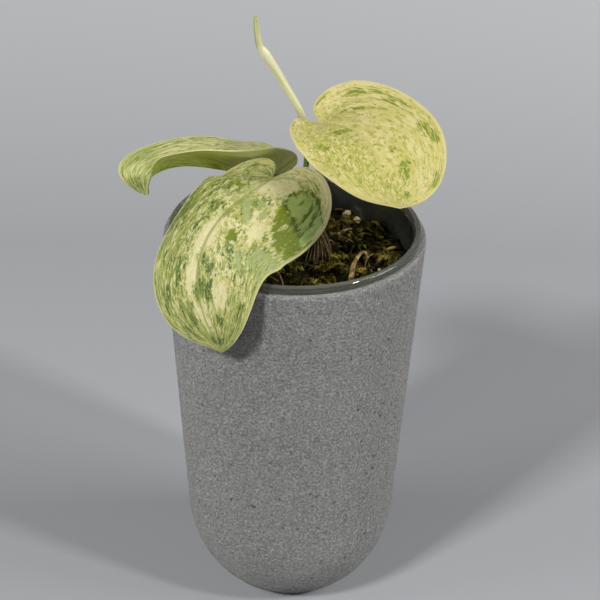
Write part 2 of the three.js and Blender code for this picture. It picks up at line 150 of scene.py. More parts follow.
studio = {
    "aim": (0, 0, 100),
    # place in mm, side in mm, power in W
    "keyRight": ((1706, -985, 1639), 218, 21.3),
    "keyLeft": ((-1255, -1394, 1753), 350, 35.5),
    "softLeft": ((-1876, -331, 1200), 1016, 12.7),
    "softRight": ((1898, -166, 1200), 1000, 23.0),
    "fill": 0.05,
}
for lamp in ("keyRight", "keyLeft", "softLeft", "softRight"):
    place, side, power = studio[lamp]
    bpy.ops.object.light_add(type="AREA", location=[v * mm for v in place])
    light = bpy.context.object
    light.name = lamp
    light.data.size = side * mm
    light.data.energy = power
    light.rotation_euler = (Vector(place) - Vector(studio["aim"])).to_track_quat("Z", "Y").to_euler()
world = bpy.context.scene.world or bpy.data.worlds.new("studio")
bpy.context.scene.world = world
world.use_nodes = True
world.node_tree.nodes["Background"].inputs["Color"].default_value = (1, 1, 1, 1)
world.node_tree.nodes["Background"].inputs["Strength"].default_value = studio["fill"]

paper, tree, shader = newFinish("mattePaperFloor", Roughness=0.9)
place = addNode(tree, "TexCoord", output=3)
fibre = addNode(tree, "TexNoise", {"Vector": place, "Scale": 900.0, "Detail": 3.0})
near = addNode(tree, "Mix", {0: fibre, 6: "#a9abae", 7: "#adafb2"}, data_type="RGBA")
# painted light: the floor is painted lighter towards the back, standing in for the lamps lighting it more there
paintedLightTowardsBack = addNode(tree, "MapRange", {"Value": addNode(tree, "SeparateXYZ", {"Vector": place}, output=1), "From Min": -1.66, "From Max": -1.04})
tree.links.new(addNode(tree, "Mix", {0: paintedLightTowardsBack, 6: near, 7: "#e9ebee"}, data_type="RGBA"), shader.inputs["Base Color"])
deselectAll()
bpy.ops.mesh.primitive_grid_add(x_subdivisions=4, y_subdivisions=4, size=12, location=(0, 2, -0.05 * mm))
floor = bpy.context.object
floor.name = "studioFloor"
dress(floor, paper)
print("camera, lights and floor done")


# ---- cover pot: cast cement, rough as sand outside ----
coverPot = {
    "height": 198, "rim": 62.4, "wall": 4.5, "floor": 6.5, "rimRound": 1.2,
    "cornerTop": 48.5, "cornerRadius": 53.5, "cornerAxis": 16.5, "cornerDepth": 52.3,
    "ringStep": 1.5, "sides": 300, "relief": 0.75, "lump": 3.2,
    "airHoles": [(-17.4, -52.1, 73.3, 1.3), (-18.6, -51.7, 74, 0.8), (-3.1, -54.1, 62.2, 0.8), (4.2, -54, 61.6, 0.7), (13.5, -52.4, 61.2, 0.8), (39.7, -42.1, 124, 0.9), (30.9, -48.4, 115.5, 0.8)],
}


def coverProfile(c):
    reach = c["cornerRadius"] - c["cornerAxis"]
    start = math.acos(c["cornerTop"] / c["cornerDepth"])
    rings = 36
    profile = [(0, 0), (12, 0), (24, 0)]
    for i in range(rings + 1):
        angle = start + (math.pi / 2 - start) * i / rings
        profile.append((c["cornerAxis"] + reach * math.sin(angle), c["cornerTop"] - c["cornerDepth"] * math.cos(angle)))
    wallTop = c["height"] - c["rimRound"]
    count = int((wallTop - c["cornerTop"]) / c["ringStep"])
    for i in range(1, count + 1):
        share = i / count
        profile.append((c["cornerRadius"] + (c["rim"] - 0.1 - c["cornerRadius"]) * share, c["cornerTop"] + (wallTop - c["cornerTop"]) * share))
    profile += [(c["rim"] - c["rimRound"] * 0.4, c["height"] - c["rimRound"] * 0.3), (c["rim"] - c["rimRound"], c["height"])]
    inner = c["rim"] - c["wall"]
    profile += [(inner + 0.8, c["height"]), (inner, c["height"] - 0.8), (inner - 1.6, 150), (inner - 3.4, 100)]
    for i in range(13):
        angle = math.pi / 2 * (1 - i / 12)
        profile.append(((c["cornerAxis"] + reach - c["wall"] - c["cornerAxis"] * (i == 12)) * (math.sin(angle) if i else 1), c["cornerTop"] - (c["cornerTop"] - c["floor"]) * math.cos(angle)))
    return profile


potPiece = turnProfile("castPot", coverProfile(coverPot), coverPot["sides"])
lumps = bpy.data.textures.new("castLumps", "CLOUDS")
lumps.noise_scale = coverPot["lump"] * mm
lumps.noise_depth = 3
outer = potPiece.vertex_groups.new(name="outer")
for v in potPiece.data.vertices:
    radius = math.hypot(v.co.x, v.co.y) / mm
    height = v.co.z / mm
    wallOutside = coverPot["cornerRadius"] + (coverPot["rim"] - coverPot["cornerRadius"]) * (height - 48.5) / 149.5 - 1
    if 1.5 < height < 198.1 and (height < 48 and radius > 33 or radius > wallOutside):
        outer.add([v.index], min(1, (height - 1.5) / 5) * (1 if height < 195 else 0.7), "REPLACE")
rough = potPiece.modifiers.new("castRelief", "DISPLACE")
rough.texture = lumps
rough.texture_coords = "LOCAL"
rough.strength = coverPot["relief"] * mm
rough.mid_level = 0.52
rough.vertex_group = "outer"
bpy.context.view_layer.objects.active = potPiece
bpy.ops.object.modifier_apply(modifier="castRelief")

# Cement cast in a sanded mould: dry and dusty, an even warm grey, gritty with fine sand and a few open pits; painted
# shade darkens the pits, the air holes and the inside of its mouth.
cement, tree, shader = newFinish("castSandedCement", Roughness=0.95, Diffuse_Roughness=1.0, Specular_IOR_Level=0.2, Sheen_Weight=0.35, Sheen_Roughness=0.6)
place = addNode(tree, "TexCoord", output=3)
clouds = addNode(tree, "TexNoise", {"Vector": place, "Scale": 24.0, "Detail": 5.0, "Roughness": 0.6})
sand = addNode(tree, "TexNoise", {"Vector": place, "Scale": 950.0, "Detail": 4.0, "Roughness": 0.75})  # grains of about 1 mm
pressed = addNode(tree, "Mapping", {"Vector": place, "Scale": (1.0, 1.0, 1.7)})
grit = addNode(tree, "TexNoise", {"Vector": pressed, "Scale": 150.0, "Detail": 6.0, "Roughness": 0.68})  # flattened crumbs, 6 mm wide
pits = addNode(tree, "TexVoronoi", {"Vector": place, "Scale": 120.0, "Randomness": 1.0})
pitMask = addNode(tree, "MapRange", {"Value": pits, "From Min": 0.05, "From Max": 0.13})
tone = addNode(tree, "ValToRGB", {"Fac": sand}, stops=[(0.35, "#545350"), (0.65, "#dbdad6"), (0.5, "#9a9996")])
broad = addNode(tree, "ValToRGB", {"Fac": clouds}, stops=[(0.3, "#8a8988"), (0.7, "#a6a5a2")])
mottle = addNode(tree, "Mix", {0: 0.22, 6: tone, 7: broad}, data_type="RGBA")
# painted shade: the pits are painted darker, while their relief comes from the bump below
pitShaded = addNode(tree, "Mix", {0: pitMask, 6: "#5c5b58", 7: mottle}, data_type="RGBA")
spot = addNode(tree, "SeparateXYZ", {"Vector": place}).node
fromAxis = addNode(tree, "VectorMath", {0: addNode(tree, "CombineXYZ", {"X": spot.outputs["X"], "Y": spot.outputs["Y"]})}, output=1, operation="LENGTH")
depth = addNode(tree, "Math", {0: spot.outputs["Z"], 1: -0.0595, 2: fromAxis}, operation="MULTIPLY_ADD")  # wall slope taken out
inside = addNode(tree, "MapRange", {"Value": depth, "From Min": 0.0473, "From Max": 0.0467})  # painted shade: darker inside its mouth
inside = addNode(tree, "Math", {0: inside, 1: addNode(tree, "Math", {0: spot.outputs["Z"], 1: 0.174, 2: 0.0232}, operation="COMPARE")}, operation="MULTIPLY")
colour = addNode(tree, "Mix", {0: inside, 6: pitShaded, 7: "#34332d"}, data_type="RGBA")
for x, y, z, size in coverPot["airHoles"]:  # open air holes, a millimetre wide or less, painted as dark spots of shade
    away = addNode(tree, "VectorMath", {0: place, 1: (x * mm, y * mm, z * mm)}, output=1, operation="DISTANCE")
    colour = addNode(tree, "Mix", {0: addNode(tree, "MapRange", {"Value": away, "From Min": size * 0.6 * mm, "From Max": size * mm, "To Min": 0.85, "To Max": 0.0}), 6: colour, 7: "#2c2b2c"}, data_type="RGBA")
tree.links.new(colour, shader.inputs["Base Color"])
height = addNode(tree, "Math", {0: grit, 1: 2.6, 2: sand}, operation="MULTIPLY_ADD")
height = addNode(tree, "Math", {0: pitMask, 1: 0.8, 2: height}, operation="MULTIPLY_ADD")
tree.links.new(addNode(tree, "Bump", {"Height": height, "Strength": 1.0, "Distance": 2.1 * mm}), shader.inputs["Normal"])
dress(potPiece, cement)
settle(potPiece, "cast_cement", "cover_pot")
print("cover pot done")


# ---- grow pot: thin clear plastic with a rolled lip ----
growPot = {
    "lipTop": 202, "lipRadius": 60, "lipInner": 57, "lipFoot": 198.3, "floor": 88, "wall": 0.9,
    "topRadius": 57.1, "baseRadius": 45.5, "sides": 192,
}


def growProfile(g):
    top, lip = g["lipTop"], g["lipRadius"]
    outside = [(0, g["floor"]), (43.5, g["floor"]), (45, g["floor"] + 0.6), (g["baseRadius"], g["floor"] + 2)]
    outside += [(g["topRadius"], g["lipFoot"] - 0.6), (g["topRadius"] + 0.5, g["lipFoot"]), (lip - 0.5, g["lipFoot"])]
    outside += [(lip - 0.12, g["lipFoot"] + 0.15), (lip, g["lipFoot"] + 0.6), (lip, top - 1.3), (lip - 0.2, top - 0.7)]
    outside += [(lip - 0.7, top - 0.2), (lip - 1.4, top), (lip - 2.2, top - 0.05), (g["lipInner"] + 0.3, top - 0.35)]
    outside += [(g["lipInner"], top - 1), (g["lipInner"] - 0.35, top - 2.2), (g["topRadius"] - g["wall"] + 0.1, g["lipFoot"] - 0.6)]
    inside = [(44.6, g["floor"] + 2.4), (42.6, g["floor"] + 1.2), (0, g["floor"] + 1.2)]
    return outside + inside


plasticPiece = turnProfile("clearPot", growProfile(growPot), growPot["sides"])
# Moulded clear plastic: glassy, faintly grey, with a painted highlight line along each edge of the lip and painted
# shade on the wall below it.
plastic, tree, shader = newFinish("mouldedClearPlastic", Roughness=0.08, IOR=1.49, Transmission_Weight=0.86)
place = addNode(tree, "TexCoord", output=3)
# painted light by height: painted shade on the wall below the lip, painted highlight lines at the lip's foot and top
upIt = addNode(tree, "MapRange", {"Value": addNode(tree, "SeparateXYZ", {"Vector": place}, output=2), "From Min": 197.5 * mm, "From Max": 202 * mm})
paintedLightBands = addNode(tree, "ValToRGB", {"Fac": upIt}, stops=[(0.1, "#6e6f66"), (1.0, "#e2e3db"), (0.2, "#dddecf"), (0.32, "#a7a897"), (0.78, "#9e9f90"), (0.9, "#dadbd0")])
haze = addNode(tree, "TexNoise", {"Vector": place, "Scale": 60.0, "Detail": 2.0})
tree.links.new(addNode(tree, "Mix", {0: addNode(tree, "MapRange", {"Value": haze, "To Max": 0.3}), 6: paintedLightBands, 7: "#a9aaa0"}, data_type="RGBA"), shader.inputs["Base Color"])
dress(plasticPiece, plastic)
settle(plasticPiece, "clear_plastic", "grow_pot")
print("grow pot done")


# ---- potting mix: dark bark and moss, with pale grains ----
mix = {
    "top": 187, "relief": 2.4, "stem": (12, 2), "sides": 150, "rings": 44, "wallGap": 0.35,
    "bark": 90, "crumbs": 360, "grains": 12, "clumps": 95, "mossTufts": 70, "curls": 150, "strands": 14,
    # the bits that stand out: (x, y) with a size, and (x, y) paths with a thickness
    "placedGrains": [(25.8, 43.6, 5.4), (30.5, 30.9, 4.6), (17.2, 30.4, 3.4), (25.2, 12, 3.6), (47.8, -3.1, 3.8), (40.3, -14, 2.4), (14.4, -32.7, 3), (18.1, -32.5, 2.6), (-3.5, -33.3, 3)],
    "placedCurls": [
        (0.9, (16.1, 12.7), (19.9, 13.8), (22.4, 18), (24.4, 21.2)), (0.7, (26.9, 21.3), (29.7, 16.3), (30.5, 9.2), (31.7, 1.2)),
        (0.8, (20.3, 1.8), (23.1, -1.1), (25.4, -3.9), (27.3, -7.8)), (0.6, (20.3, -1.2), (22.6, -6), (24.9, -8.8)),
        (0.7, (28.8, -2.8), (27.7, -8.7)), (0.6, (35.5, 0.4), (34, -4.6)), (1.2, (37.3, 9.4), (40.1, 8.5), (43, 7.6)),
        (1.3, (38.5, -12.1), (42.5, -5.2), (45.9, -2.2))],
    "placedFibres": [
        (1.4, (36.9, 30.1), (40, 34.5), (42.1, 37.8)), (1.2, (42.1, 35.6), (45, 34.7), (47.9, 32.7)), (1.0, (44, 33.6), (42.7, 26.1)),
        (1.5, (29.9, 47.1), (29.2, 39.4)), (0.8, (6, -31.5), (8.4, -31.1), (10.5, -33))],
}


def mixHeight(x, y):
    mounds = math.sin(x / 6.1 + 0.7) * math.cos(y / 7.3 - 0.4) + 0.6 * math.sin((x + y) / 4.2) + 0.5 * math.cos((x - 1.4 * y) / 5.1 + 1.9)
    away = min(1, max(0, (math.hypot(x - mix["stem"][0], y - mix["stem"][1]) - 6) / 10))
    return mix["top"] - 1 + mix["relief"] * 0.6 * mounds * away * away * (3 - 2 * away)


def growInner(height):
    share = (height - 90.4) / (197.7 - 90.4)
    return 45.5 + (57.1 - 45.5) * share - 0.9


edge = growInner(182) - mix["wallGap"]
mixProfile = [(0, 89.6), (41.6, 89.6), (44.2, 93), (growInner(140) - mix["wallGap"], 140), (edge, 182)]
mixProfile += [(edge * (1 - i / mix["rings"]), 187 if i else 184) for i in range(mix["rings"] + 1)]
mixPiece = turnProfile("barkMix", mixProfile, mix["sides"])
for v in mixPiece.data.vertices:
    if v.co.z > 183.5 * mm:
        x, y = v.co.x / mm, v.co.y / mm
        crumb = noise.fractal(Vector((x, y, 3)) * 0.35, 0.8, 2.1, 4)
        v.co.z = (mixHeight(x, y) - 1 + 1.3 * crumb - (1.5 if math.hypot(x, y) > edge - 1.5 else 0)) * mm


def mixSpot(reach, clear=9.0):
    while True:
        radius, angle = reach * math.sqrt(random.random()), 2 * math.pi * random.random()
        x, y = radius * math.cos(angle), radius * math.sin(angle)
        if math.hypot(x - mix["stem"][0], y - mix["stem"][1]) > clear:
            return x, y


# A bit of bark or mineral: a cube or ball cut and pressed out of true, then copied with its own mesh.
def scatter(name, sources, spots, sizes, sink, finish):
    copies = []
    for i, (x, y, *given) in enumerate(spots):
        source = sources[i % len(sources)]
        size = given[0] if given else random.uniform(*sizes)
        turn = Matrix.Rotation(random.uniform(0, 6.28), 4, "Z") @ Matrix.Rotation(random.uniform(-0.6, 0.6), 4, "X") @ Matrix.Rotation(random.uniform(-0.6, 0.6), 4, "Y")
        copy = source.copy()
        copy.data = source.data.copy()
        lift = mixHeight(x, y) + random.uniform(-sink, sink * 0.6)
        copy.data.transform(Matrix.Translation(Vector((x, y, lift)) * mm) @ turn @ Matrix.Scale(size * mm, 4))
        bpy.context.scene.collection.objects.link(copy)
        copies.append(copy)
    deselectAll()
    for copy in copies:
        copy.select_set(True)
    bpy.context.view_layer.objects.active = copies[0]
    bpy.ops.object.join()
    piece = bpy.context.object
    piece.name = name
    dress(piece, finish)
    bpy.ops.object.shade_smooth_by_angle(angle=math.radians(35))
    for source in sources:
        bpy.data.objects.remove(source)
    settle(piece, "bark_mix")
    return piece


def roughLump(shape, amount, stretch):
    deselectAll()
    if shape == "chip":
        bpy.ops.mesh.primitive_cube_add(size=1)
    else:
        bpy.ops.mesh.primitive_ico_sphere_add(subdivisions=2, radius=0.5)
    lump = bpy.context.object
    bpy.ops.object.mode_set(mode="EDIT")
    bpy.ops.mesh.select_all(action="SELECT")
    bpy.ops.transform.resize(value=stretch)
    if shape == "chip":
        bpy.ops.mesh.subdivide(number_cuts=2)
    bpy.ops.object.mode_set(mode="OBJECT")
    seed = Vector((random.random() * 40, 0, 0))
    for v in lump.data.vertices:
        v.co += noise.noise_vector(v.co * 3.1 + seed) * amount
    return lump


# Composted bark: dark, damp and fibrous, nearly black in the gaps.
bark, tree, shader = newFinish("compostedBark", Roughness=0.9, Specular_IOR_Level=0.15)
place = addNode(tree, "TexCoord", output=3)
flecks = addNode(tree, "TexNoise", {"Vector": place, "Scale": 380.0, "Detail": 5.0, "Roughness": 0.65})
tree.links.new(addNode(tree, "ValToRGB", {"Fac": flecks}, stops=[(0.3, "#060401"), (0.75, "#45340f"), (0.55, "#191204")]), shader.inputs["Base Color"])
tree.links.new(addNode(tree, "Bump", {"Height": flecks, "Strength": 0.7, "Distance": 0.5 * mm}), shader.inputs["Normal"])
dress(mixPiece, bark)
settle(mixPiece, "bark_mix", "potting_mix")

# Split bark chips: red brown with paler torn edges.
chips, tree, shader = newFinish("splitBarkChips", Roughness=0.85, Specular_IOR_Level=0.2)
place = addNode(tree, "TexCoord", output=3)
stretch = addNode(tree, "Mapping", {"Vector": place, "Scale": (1.0, 1.0, 3.0)})
flecks = addNode(tree, "TexNoise", {"Vector": stretch, "Scale": 170.0, "Detail": 5.0, "Roughness": 0.6})
tree.links.new(addNode(tree, "ValToRGB", {"Fac": flecks}, stops=[(0.35, "#1a1305"), (0.75, "#7d6434"), (0.55, "#3c2d12")]), shader.inputs["Base Color"])
tree.links.new(addNode(tree, "Bump", {"Height": flecks, "Strength": 0.5, "Distance": 0.4 * mm}), shader.inputs["Normal"])

# Pumice and perlite grains: pale, dry and foamy.
pumice, tree, shader = newFinish("pumiceGrains", Roughness=0.9)
place = addNode(tree, "TexCoord", output=3)
flecks = addNode(tree, "TexNoise", {"Vector": place, "Scale": 240.0, "Detail": 4.0})
tree.links.new(addNode(tree, "ValToRGB", {"Fac": flecks}, stops=[(0.35, "#8a7a52"), (0.7, "#dccba4"), (0.52, "#b5a172")]), shader.inputs["Base Color"])
tree.links.new(addNode(tree, "Bump", {"Height": flecks, "Strength": 0.8, "Distance": 0.3 * mm}), shader.inputs["Normal"])

# Dried sphagnum moss: fluffy olive strands, straw yellow where they have dried right out.
moss, tree, shader = newFinish("driedSphagnum", Roughness=0.85, Specular_IOR_Level=0.15)
place = addNode(tree, "TexCoord", output=3)
patches = addNode(tree, "TexNoise", {"Vector": place, "Scale": 130.0, "Detail": 4.0, "Roughness": 0.6})
tree.links.new(addNode(tree, "ValToRGB", {"Fac": patches}, stops=[(0.38, "#171604"), (0.66, "#ad9a4a"), (0.52, "#4d4712")]), shader.inputs["Base Color"])
fluff = addNode(tree, "TexNoise", {"Vector": place, "Scale": 1400.0, "Detail": 2.0})
tree.links.new(addNode(tree, "Bump", {"Height": fluff, "Strength": 0.9, "Distance": 0.4 * mm}), shader.inputs["Normal"])

# Torn bast fibres: tan and straw yellow.
bast, tree, shader = newFinish("tornBastFibre", Roughness=0.7)
place = addNode(tree, "TexCoord", output=3)
patches = addNode(tree, "TexNoise", {"Vector": place, "Scale": 420.0, "Detail": 4.0})
tree.links.new(addNode(tree, "ValToRGB", {"Fac": patches}, stops=[(0.35, "#5b4826"), (0.68, "#bfa270"), (0.5, "#8c7144")]), shader.inputs["Base Color"])
tree.links.new(addNode(tree, "Bump", {"Height": patches, "Strength": 0.8, "Distance": 0.5 * mm}), shader.inputs["Normal"])

scatter("barkChips", [roughLump("chip", 0.12, (1, 0.55, 0.3)) for _ in range(6)], [mixSpot(50) for _ in range(mix["bark"])], (3.0, 6.5), 0.7, chips)
scatter("darkCrumbs", [roughLump("ball", 0.2, (1, 0.8, 0.7)) for _ in range(5)], [mixSpot(52) for _ in range(mix["crumbs"])], (1.2, 3.6), 0.5, bark)
scatter("paleGrains", [roughLump("ball", 0.16, (1, 0.85, 0.8)) for _ in range(4)], mix["placedGrains"] + [mixSpot(50) for _ in range(mix["grains"])], (1.4, 2.6), 0.3, pumice)


# A strand that arches out of the mix along (x, y) points and thins towards its ends.
def strand(points, thick, rise, wander=0.0):
    path = []
    for i, (x, y) in enumerate(points):
        t = i / (len(points) - 1)
        lift = -0.4 + (rise + 0.4) * math.sin(math.pi * (0.1 + 0.8 * t))
        path.append((x + random.gauss(0, wander), y + random.gauss(0, wander), mixHeight(x, y) + lift, thick * (0.55 + 0.45 * math.sin(math.pi * (0.15 + 0.7 * t)))))
    return path


def curlFrom(x, y, reach, steps):
    turn, bend = random.uniform(0, 6.28), random.uniform(-1.6, 1.6)
    points = [(x, y)]
    for i in range(steps):
        angle = turn + bend * i / steps
        points.append((points[-1][0] + math.cos(angle) * reach / steps, points[-1][1] + math.sin(angle) * reach / steps))
    return points


def insidePot(path):
    return all(math.hypot(p[0], p[1]) < edge - 1 - p[3] for p in path)


scatter("mossClumps", [roughLump("ball", 0.26, (1, 0.9, 0.6)) for _ in range(5)], [(25.2, 11.4, 4.2), (35.5, 0.8, 4.4), (40.9, -2.4, 4.4), (45.6, -9.4, 4.2), (20.4, -3.6, 3.6)] + [mixSpot(49, 8) for _ in range(mix["clumps"])], (2.4, 5.0), 0.5, moss)
curls = [strand(points, thick, 2.2) for thick, *points in mix["placedCurls"]]
for _ in range(mix["curls"]):
    x, y = mixSpot(52, 7)
    curls.append(strand(curlFrom(x, y, random.uniform(4, 10), 5), random.uniform(0.4, 0.85), random.uniform(0.6, 2.8), 0.2))
curlPiece = tubes("mossCurls", [path for path in curls if insidePot(path)], sides=6)
dress(curlPiece, moss)
settle(curlPiece, "bark_mix")

tufts = []
for _ in range(mix["mossTufts"]):
    cx, cy = mixSpot(48, 8)
    heading = random.uniform(0, 6.28)
    for _ in range(26):
        x, y = cx + random.gauss(0, 1.9), cy + random.gauss(0, 1.9)
        turn = heading + random.gauss(0, 0.9)
        reach = random.uniform(2.0, 5.5)
        base = mixHeight(x, y)
        path = []
        for i in range(5):
            t = i / 4
            px, py = x + math.cos(turn) * reach * t, y + math.sin(turn) * reach * t
            path.append((px + random.gauss(0, 0.25), py + random.gauss(0, 0.25), base - 0.6 + 2.6 * math.sin(math.pi * (0.15 + 0.7 * t)) * random.uniform(0.5, 1.1), 0.26 * (1 - 0.6 * t)))
        if all(math.hypot(p[0], p[1]) < edge - 0.5 for p in path):
            tufts.append(path)
mossPiece = tubes("mossTufts", tufts, sides=4)
dress(mossPiece, moss)
settle(mossPiece, "bark_mix")

# One torn strip stands out: broad at its foot, with a hooked end.
hook = [(26.4, -28.6, 189, 1.35), (26.9, -24.5, 190.1, 1.2), (27.3, -21, 190.6, 1.4), (28.4, -16.2, 191.4, 1.0), (29.9, -12, 191.8, 1.1), (31.4, -9.2, 192, 0.8), (33.2, -8, 192.2, 0.8), (34.4, -9.6, 191.5, 0.75), (34.4, -12, 190.4, 0.5)]
fibres = [hook] + [strand(points, thick, 2.4) for thick, *points in mix["placedFibres"]]
for _ in range(mix["strands"]):
    x, y = mixSpot(44, 8)
    fibres.append(strand(curlFrom(x, y, random.uniform(6, 14), 6), random.uniform(0.25, 0.5), random.uniform(1.0, 3.4)))
fibres = [path for path in fibres if insidePot(path)]
bastPiece = tubes("bastFibres", fibres, sides=6)
dress(bastPiece, bast)
settle(bastPiece, "bark_mix")
print("potting mix done")


# ---- blades: a flat heart outline laid over a bent midrib ----
def weigh(values, x):
    n = len(values) - 1
    return sum(math.comb(n, i) * (1 - x) ** (n - i) * x ** i * v for i, v in enumerate(values))


def cubic(a, b, c, d, t):
    return [(1 - t) ** 3 * a[k] + 3 * (1 - t) ** 2 * t * b[k] + 3 * (1 - t) * t * t * c[k] + t ** 3 * d[k] for k in (0, 1)]


def halfOutline(leaf, width):
    length, lobe, notch = leaf["length"], leaf["lobe"], leaf["notch"] * width
    pieces = [
        ((0, 0), (-0.5 * lobe, 0.5 * notch), (-lobe, notch), (-lobe, 0.42 * width)),
        ((-lobe, 0.42 * width), (-lobe, 0.78 * width), (-0.35 * lobe, width), (0.16 * length, width)),
        ((0.16 * length, width), (leaf["fullness"] * length, width), (leaf["tipReach"] * length, (leaf["tipWidth"] + 0.1) * width), (length, 0)),
    ]
    points = [(0, 0)] + [cubic(*p, (i + 1) / 60) for p in pieces for i in range(60)]
    travel = [0]
    for a, b in zip(points, points[1:]):
        travel.append(travel[-1] + math.dist(a, b))

    def at(q):
        goal, i = q * travel[-1], 0
        while i < len(travel) - 2 and travel[i + 1] < goal:
            i += 1
        share = (goal - travel[i]) / (travel[i + 1] - travel[i])
        return [points[i][k] + (points[i + 1][k] - points[i][k]) * share for k in (0, 1)]
    return at


def direction(leaf, x):
    heading, rise = math.radians(weigh(leaf["heading"], x)), math.radians(weigh(leaf["rise"], x))
    tangent = Vector((math.cos(rise) * math.cos(heading), math.cos(rise) * math.sin(heading), math.sin(rise)))
    up = Vector((-math.sin(rise) * math.cos(heading), -math.sin(rise) * math.sin(heading), math.cos(rise)))
    return tangent, up


def midrib(leaf):
    steps = 80
    spine = [Vector(leaf["sinus"])]
    for i in range(steps):
        mean = (direction(leaf, i / steps)[0] + direction(leaf, (i + 1) / steps)[0]) / 2
        spine.append(spine[-1] + mean * leaf["length"] / steps)

    def at(station):
        x = min(1, max(0, station / leaf["length"]))
        tangent, up = direction(leaf, x)
        roll = math.radians(weigh(leaf["roll"], x))
        level = up.cross(tangent)
        left = level * math.cos(roll) + up * math.sin(roll)
        normal = up * math.cos(roll) - level * math.sin(roll)
        low = min(int(x * steps), steps - 1)
        place = spine[low].lerp(spine[low + 1], x * steps - low)
        behind = min(station, 0)
        return x, place + tangent * behind + normal * leaf["lobeLift"] * (behind / leaf["lobe"]) ** 2, left, normal
    return at


# Evens out a kink in a margin: each line of points along the right half is averaged along its length.
def evenOut(piece, spots, start, end):
    lines = {}
    for i, (side, q) in enumerate(spots):
        if side < 0 and start < q < end:
            lines.setdefault(round(side, 4), []).append(i)
    for line in lines.values():
        for _ in range(300):
            places = [piece.data.vertices[i].co.copy() for i in line]
            for k in range(1, len(line) - 1):
                piece.data.vertices[line[k]].co = places[k] * 0.5 + (places[k - 1] + places[k + 1]) * 0.25


blade = {"rows": 190, "columns": 88, "thickness": 0.62, "fan": 0.16, "groove": 0.8, "grooveWidth": 1.4}


def growBlade(name, leaf, upper, under):
    deselectAll()
    bpy.ops.mesh.primitive_grid_add(x_subdivisions=blade["columns"], y_subdivisions=blade["rows"], size=2, calc_uvs=True)
    piece = bpy.context.object
    piece.name = name
    frameAt = midrib(leaf)
    outlines = {1: halfOutline(leaf, leaf["leftHalf"]), -1: halfOutline(leaf, leaf["rightHalf"])}
    edges = {}
    zones = piece.data.attributes.new("zones", "FLOAT_COLOR", "POINT")
    flat = piece.data.attributes.new("flatPlace", "FLOAT_VECTOR", "POINT")
    spots = [(-v.co.x, (v.co.y + 1) / 2) for v in piece.data.vertices]  # the left half is at -X on the flat grid
    for v, (side, q) in zip(piece.data.vertices, spots):
        half = 1 if side >= 0 else -1
        out = abs(side)
        key = (half, round(q, 5))
        if key not in edges:
            edges[key] = outlines[half](q)
        edgeStation, edgeAcross = edges[key]
        if half > 0:
            edgeAcross *= 1 - leaf["slimTip"] * math.sin(math.pi * min(1, max(0, (q - 0.76) / 0.24)))
        rib = leaf["length"] * max(0, (q - blade["fan"]) / (1 - blade["fan"])) ** 1.12
        station, across = rib + (edgeStation - rib) * out, edgeAcross * out
        x, place, left, normal = frameAt(station)
        fold = math.radians(leaf["fold"])
        camber = math.radians(weigh(leaf["rightCamber" if half < 0 else "leftCamber"], x))
        bend = (camber if abs(camber) > 1e-4 else 1e-4) / leaf["leftHalf"]
        sideways = (math.sin(fold + bend * across) - math.sin(fold)) / bend
        lift = (math.cos(fold) - math.cos(fold + bend * across)) / bend
        lift += leaf["wave"] * out ** 2 * math.sin(math.pi * q) * math.sin(2 * math.pi * leaf["waves"] * q + (0 if half > 0 else 1.3))
        vein = veinRow(leaf, half, out, q)
        lift += leaf["quilt"] * math.cos(2 * math.pi * leaf["veins"] * vein) * math.sin(math.pi * min(1, out * 1.05)) * min(1, q * 4) * min(1, (1 - q) * 5)
        lift -= blade["groove"] * math.exp(-(across / blade["grooveWidth"]) ** 2) * min(1, max(0, q - 0.15) * 12) * min(1, (1 - x) * 4)
        pull = Vector(leaf["tipShift"]) * max(0, (q - 0.88) / 0.12) ** 1.5
        if half < 0:
            pull += Vector(leaf["swell"]) * out ** 2 * math.sin(math.pi * min(1, max(0, (q - 0.79) / 0.17)))
        v.co = (place + left * half * sideways + normal * lift + pull) * mm
        flat.data[v.index].vector = (station, half * across, 0)
        zones.data[v.index].color = zoneAt(leaf["patches"], side, q)
    evenOut(piece, spots, *leaf["relax"])
    bpy.ops.object.mode_set(mode="EDIT")
    bpy.ops.mesh.select_all(action="SELECT")
    bpy.ops.mesh.remove_doubles(threshold=2e-6)
    bpy.ops.object.mode_set(mode="OBJECT")
    dress(piece, upper, under)
    shell = piece.modifiers.new("thickness", "SOLIDIFY")
    shell.thickness = blade["thickness"] * mm
    shell.offset = 0
    shell.material_offset = 1
    shell.material_offset_rim = 0
    bpy.ops.object.modifier_apply(modifier="thickness")
    bpy.ops.object.shade_smooth_by_angle(angle=math.radians(60))
    return piece


# Soft-edged patches, listed one by one: the zone that they paint (0 green, 1 olive, 2 ivory, 3 sage), its
# strength, then the side, top row and bottom row at the patch's one end, and the same at its other end.
def zoneAt(patches, side, q):
    found = [0.0, 0.0, 0.0, 0.0]
    for channel, strength, (s0, top0, low0), (s1, top1, low1) in patches:
        share = (side - s0) / (s1 - s0)
        if -0.2 < share < 1.2:
            top, low = top0 + (top1 - top0) * share, low0 + (low1 - low0) * share
            soft = 0.35 * (low - top) + 0.004
            inside = min(1, max(0, (q - top) / soft + 0.5)) * min(1, max(0, (low - q) / soft + 0.5))
            ends = min(1, max(0, (share + 0.1) / 0.2)) * min(1, max(0, (1.1 - share) / 0.2))
            found[channel] = max(found[channel], strength * inside * ends)
    return found


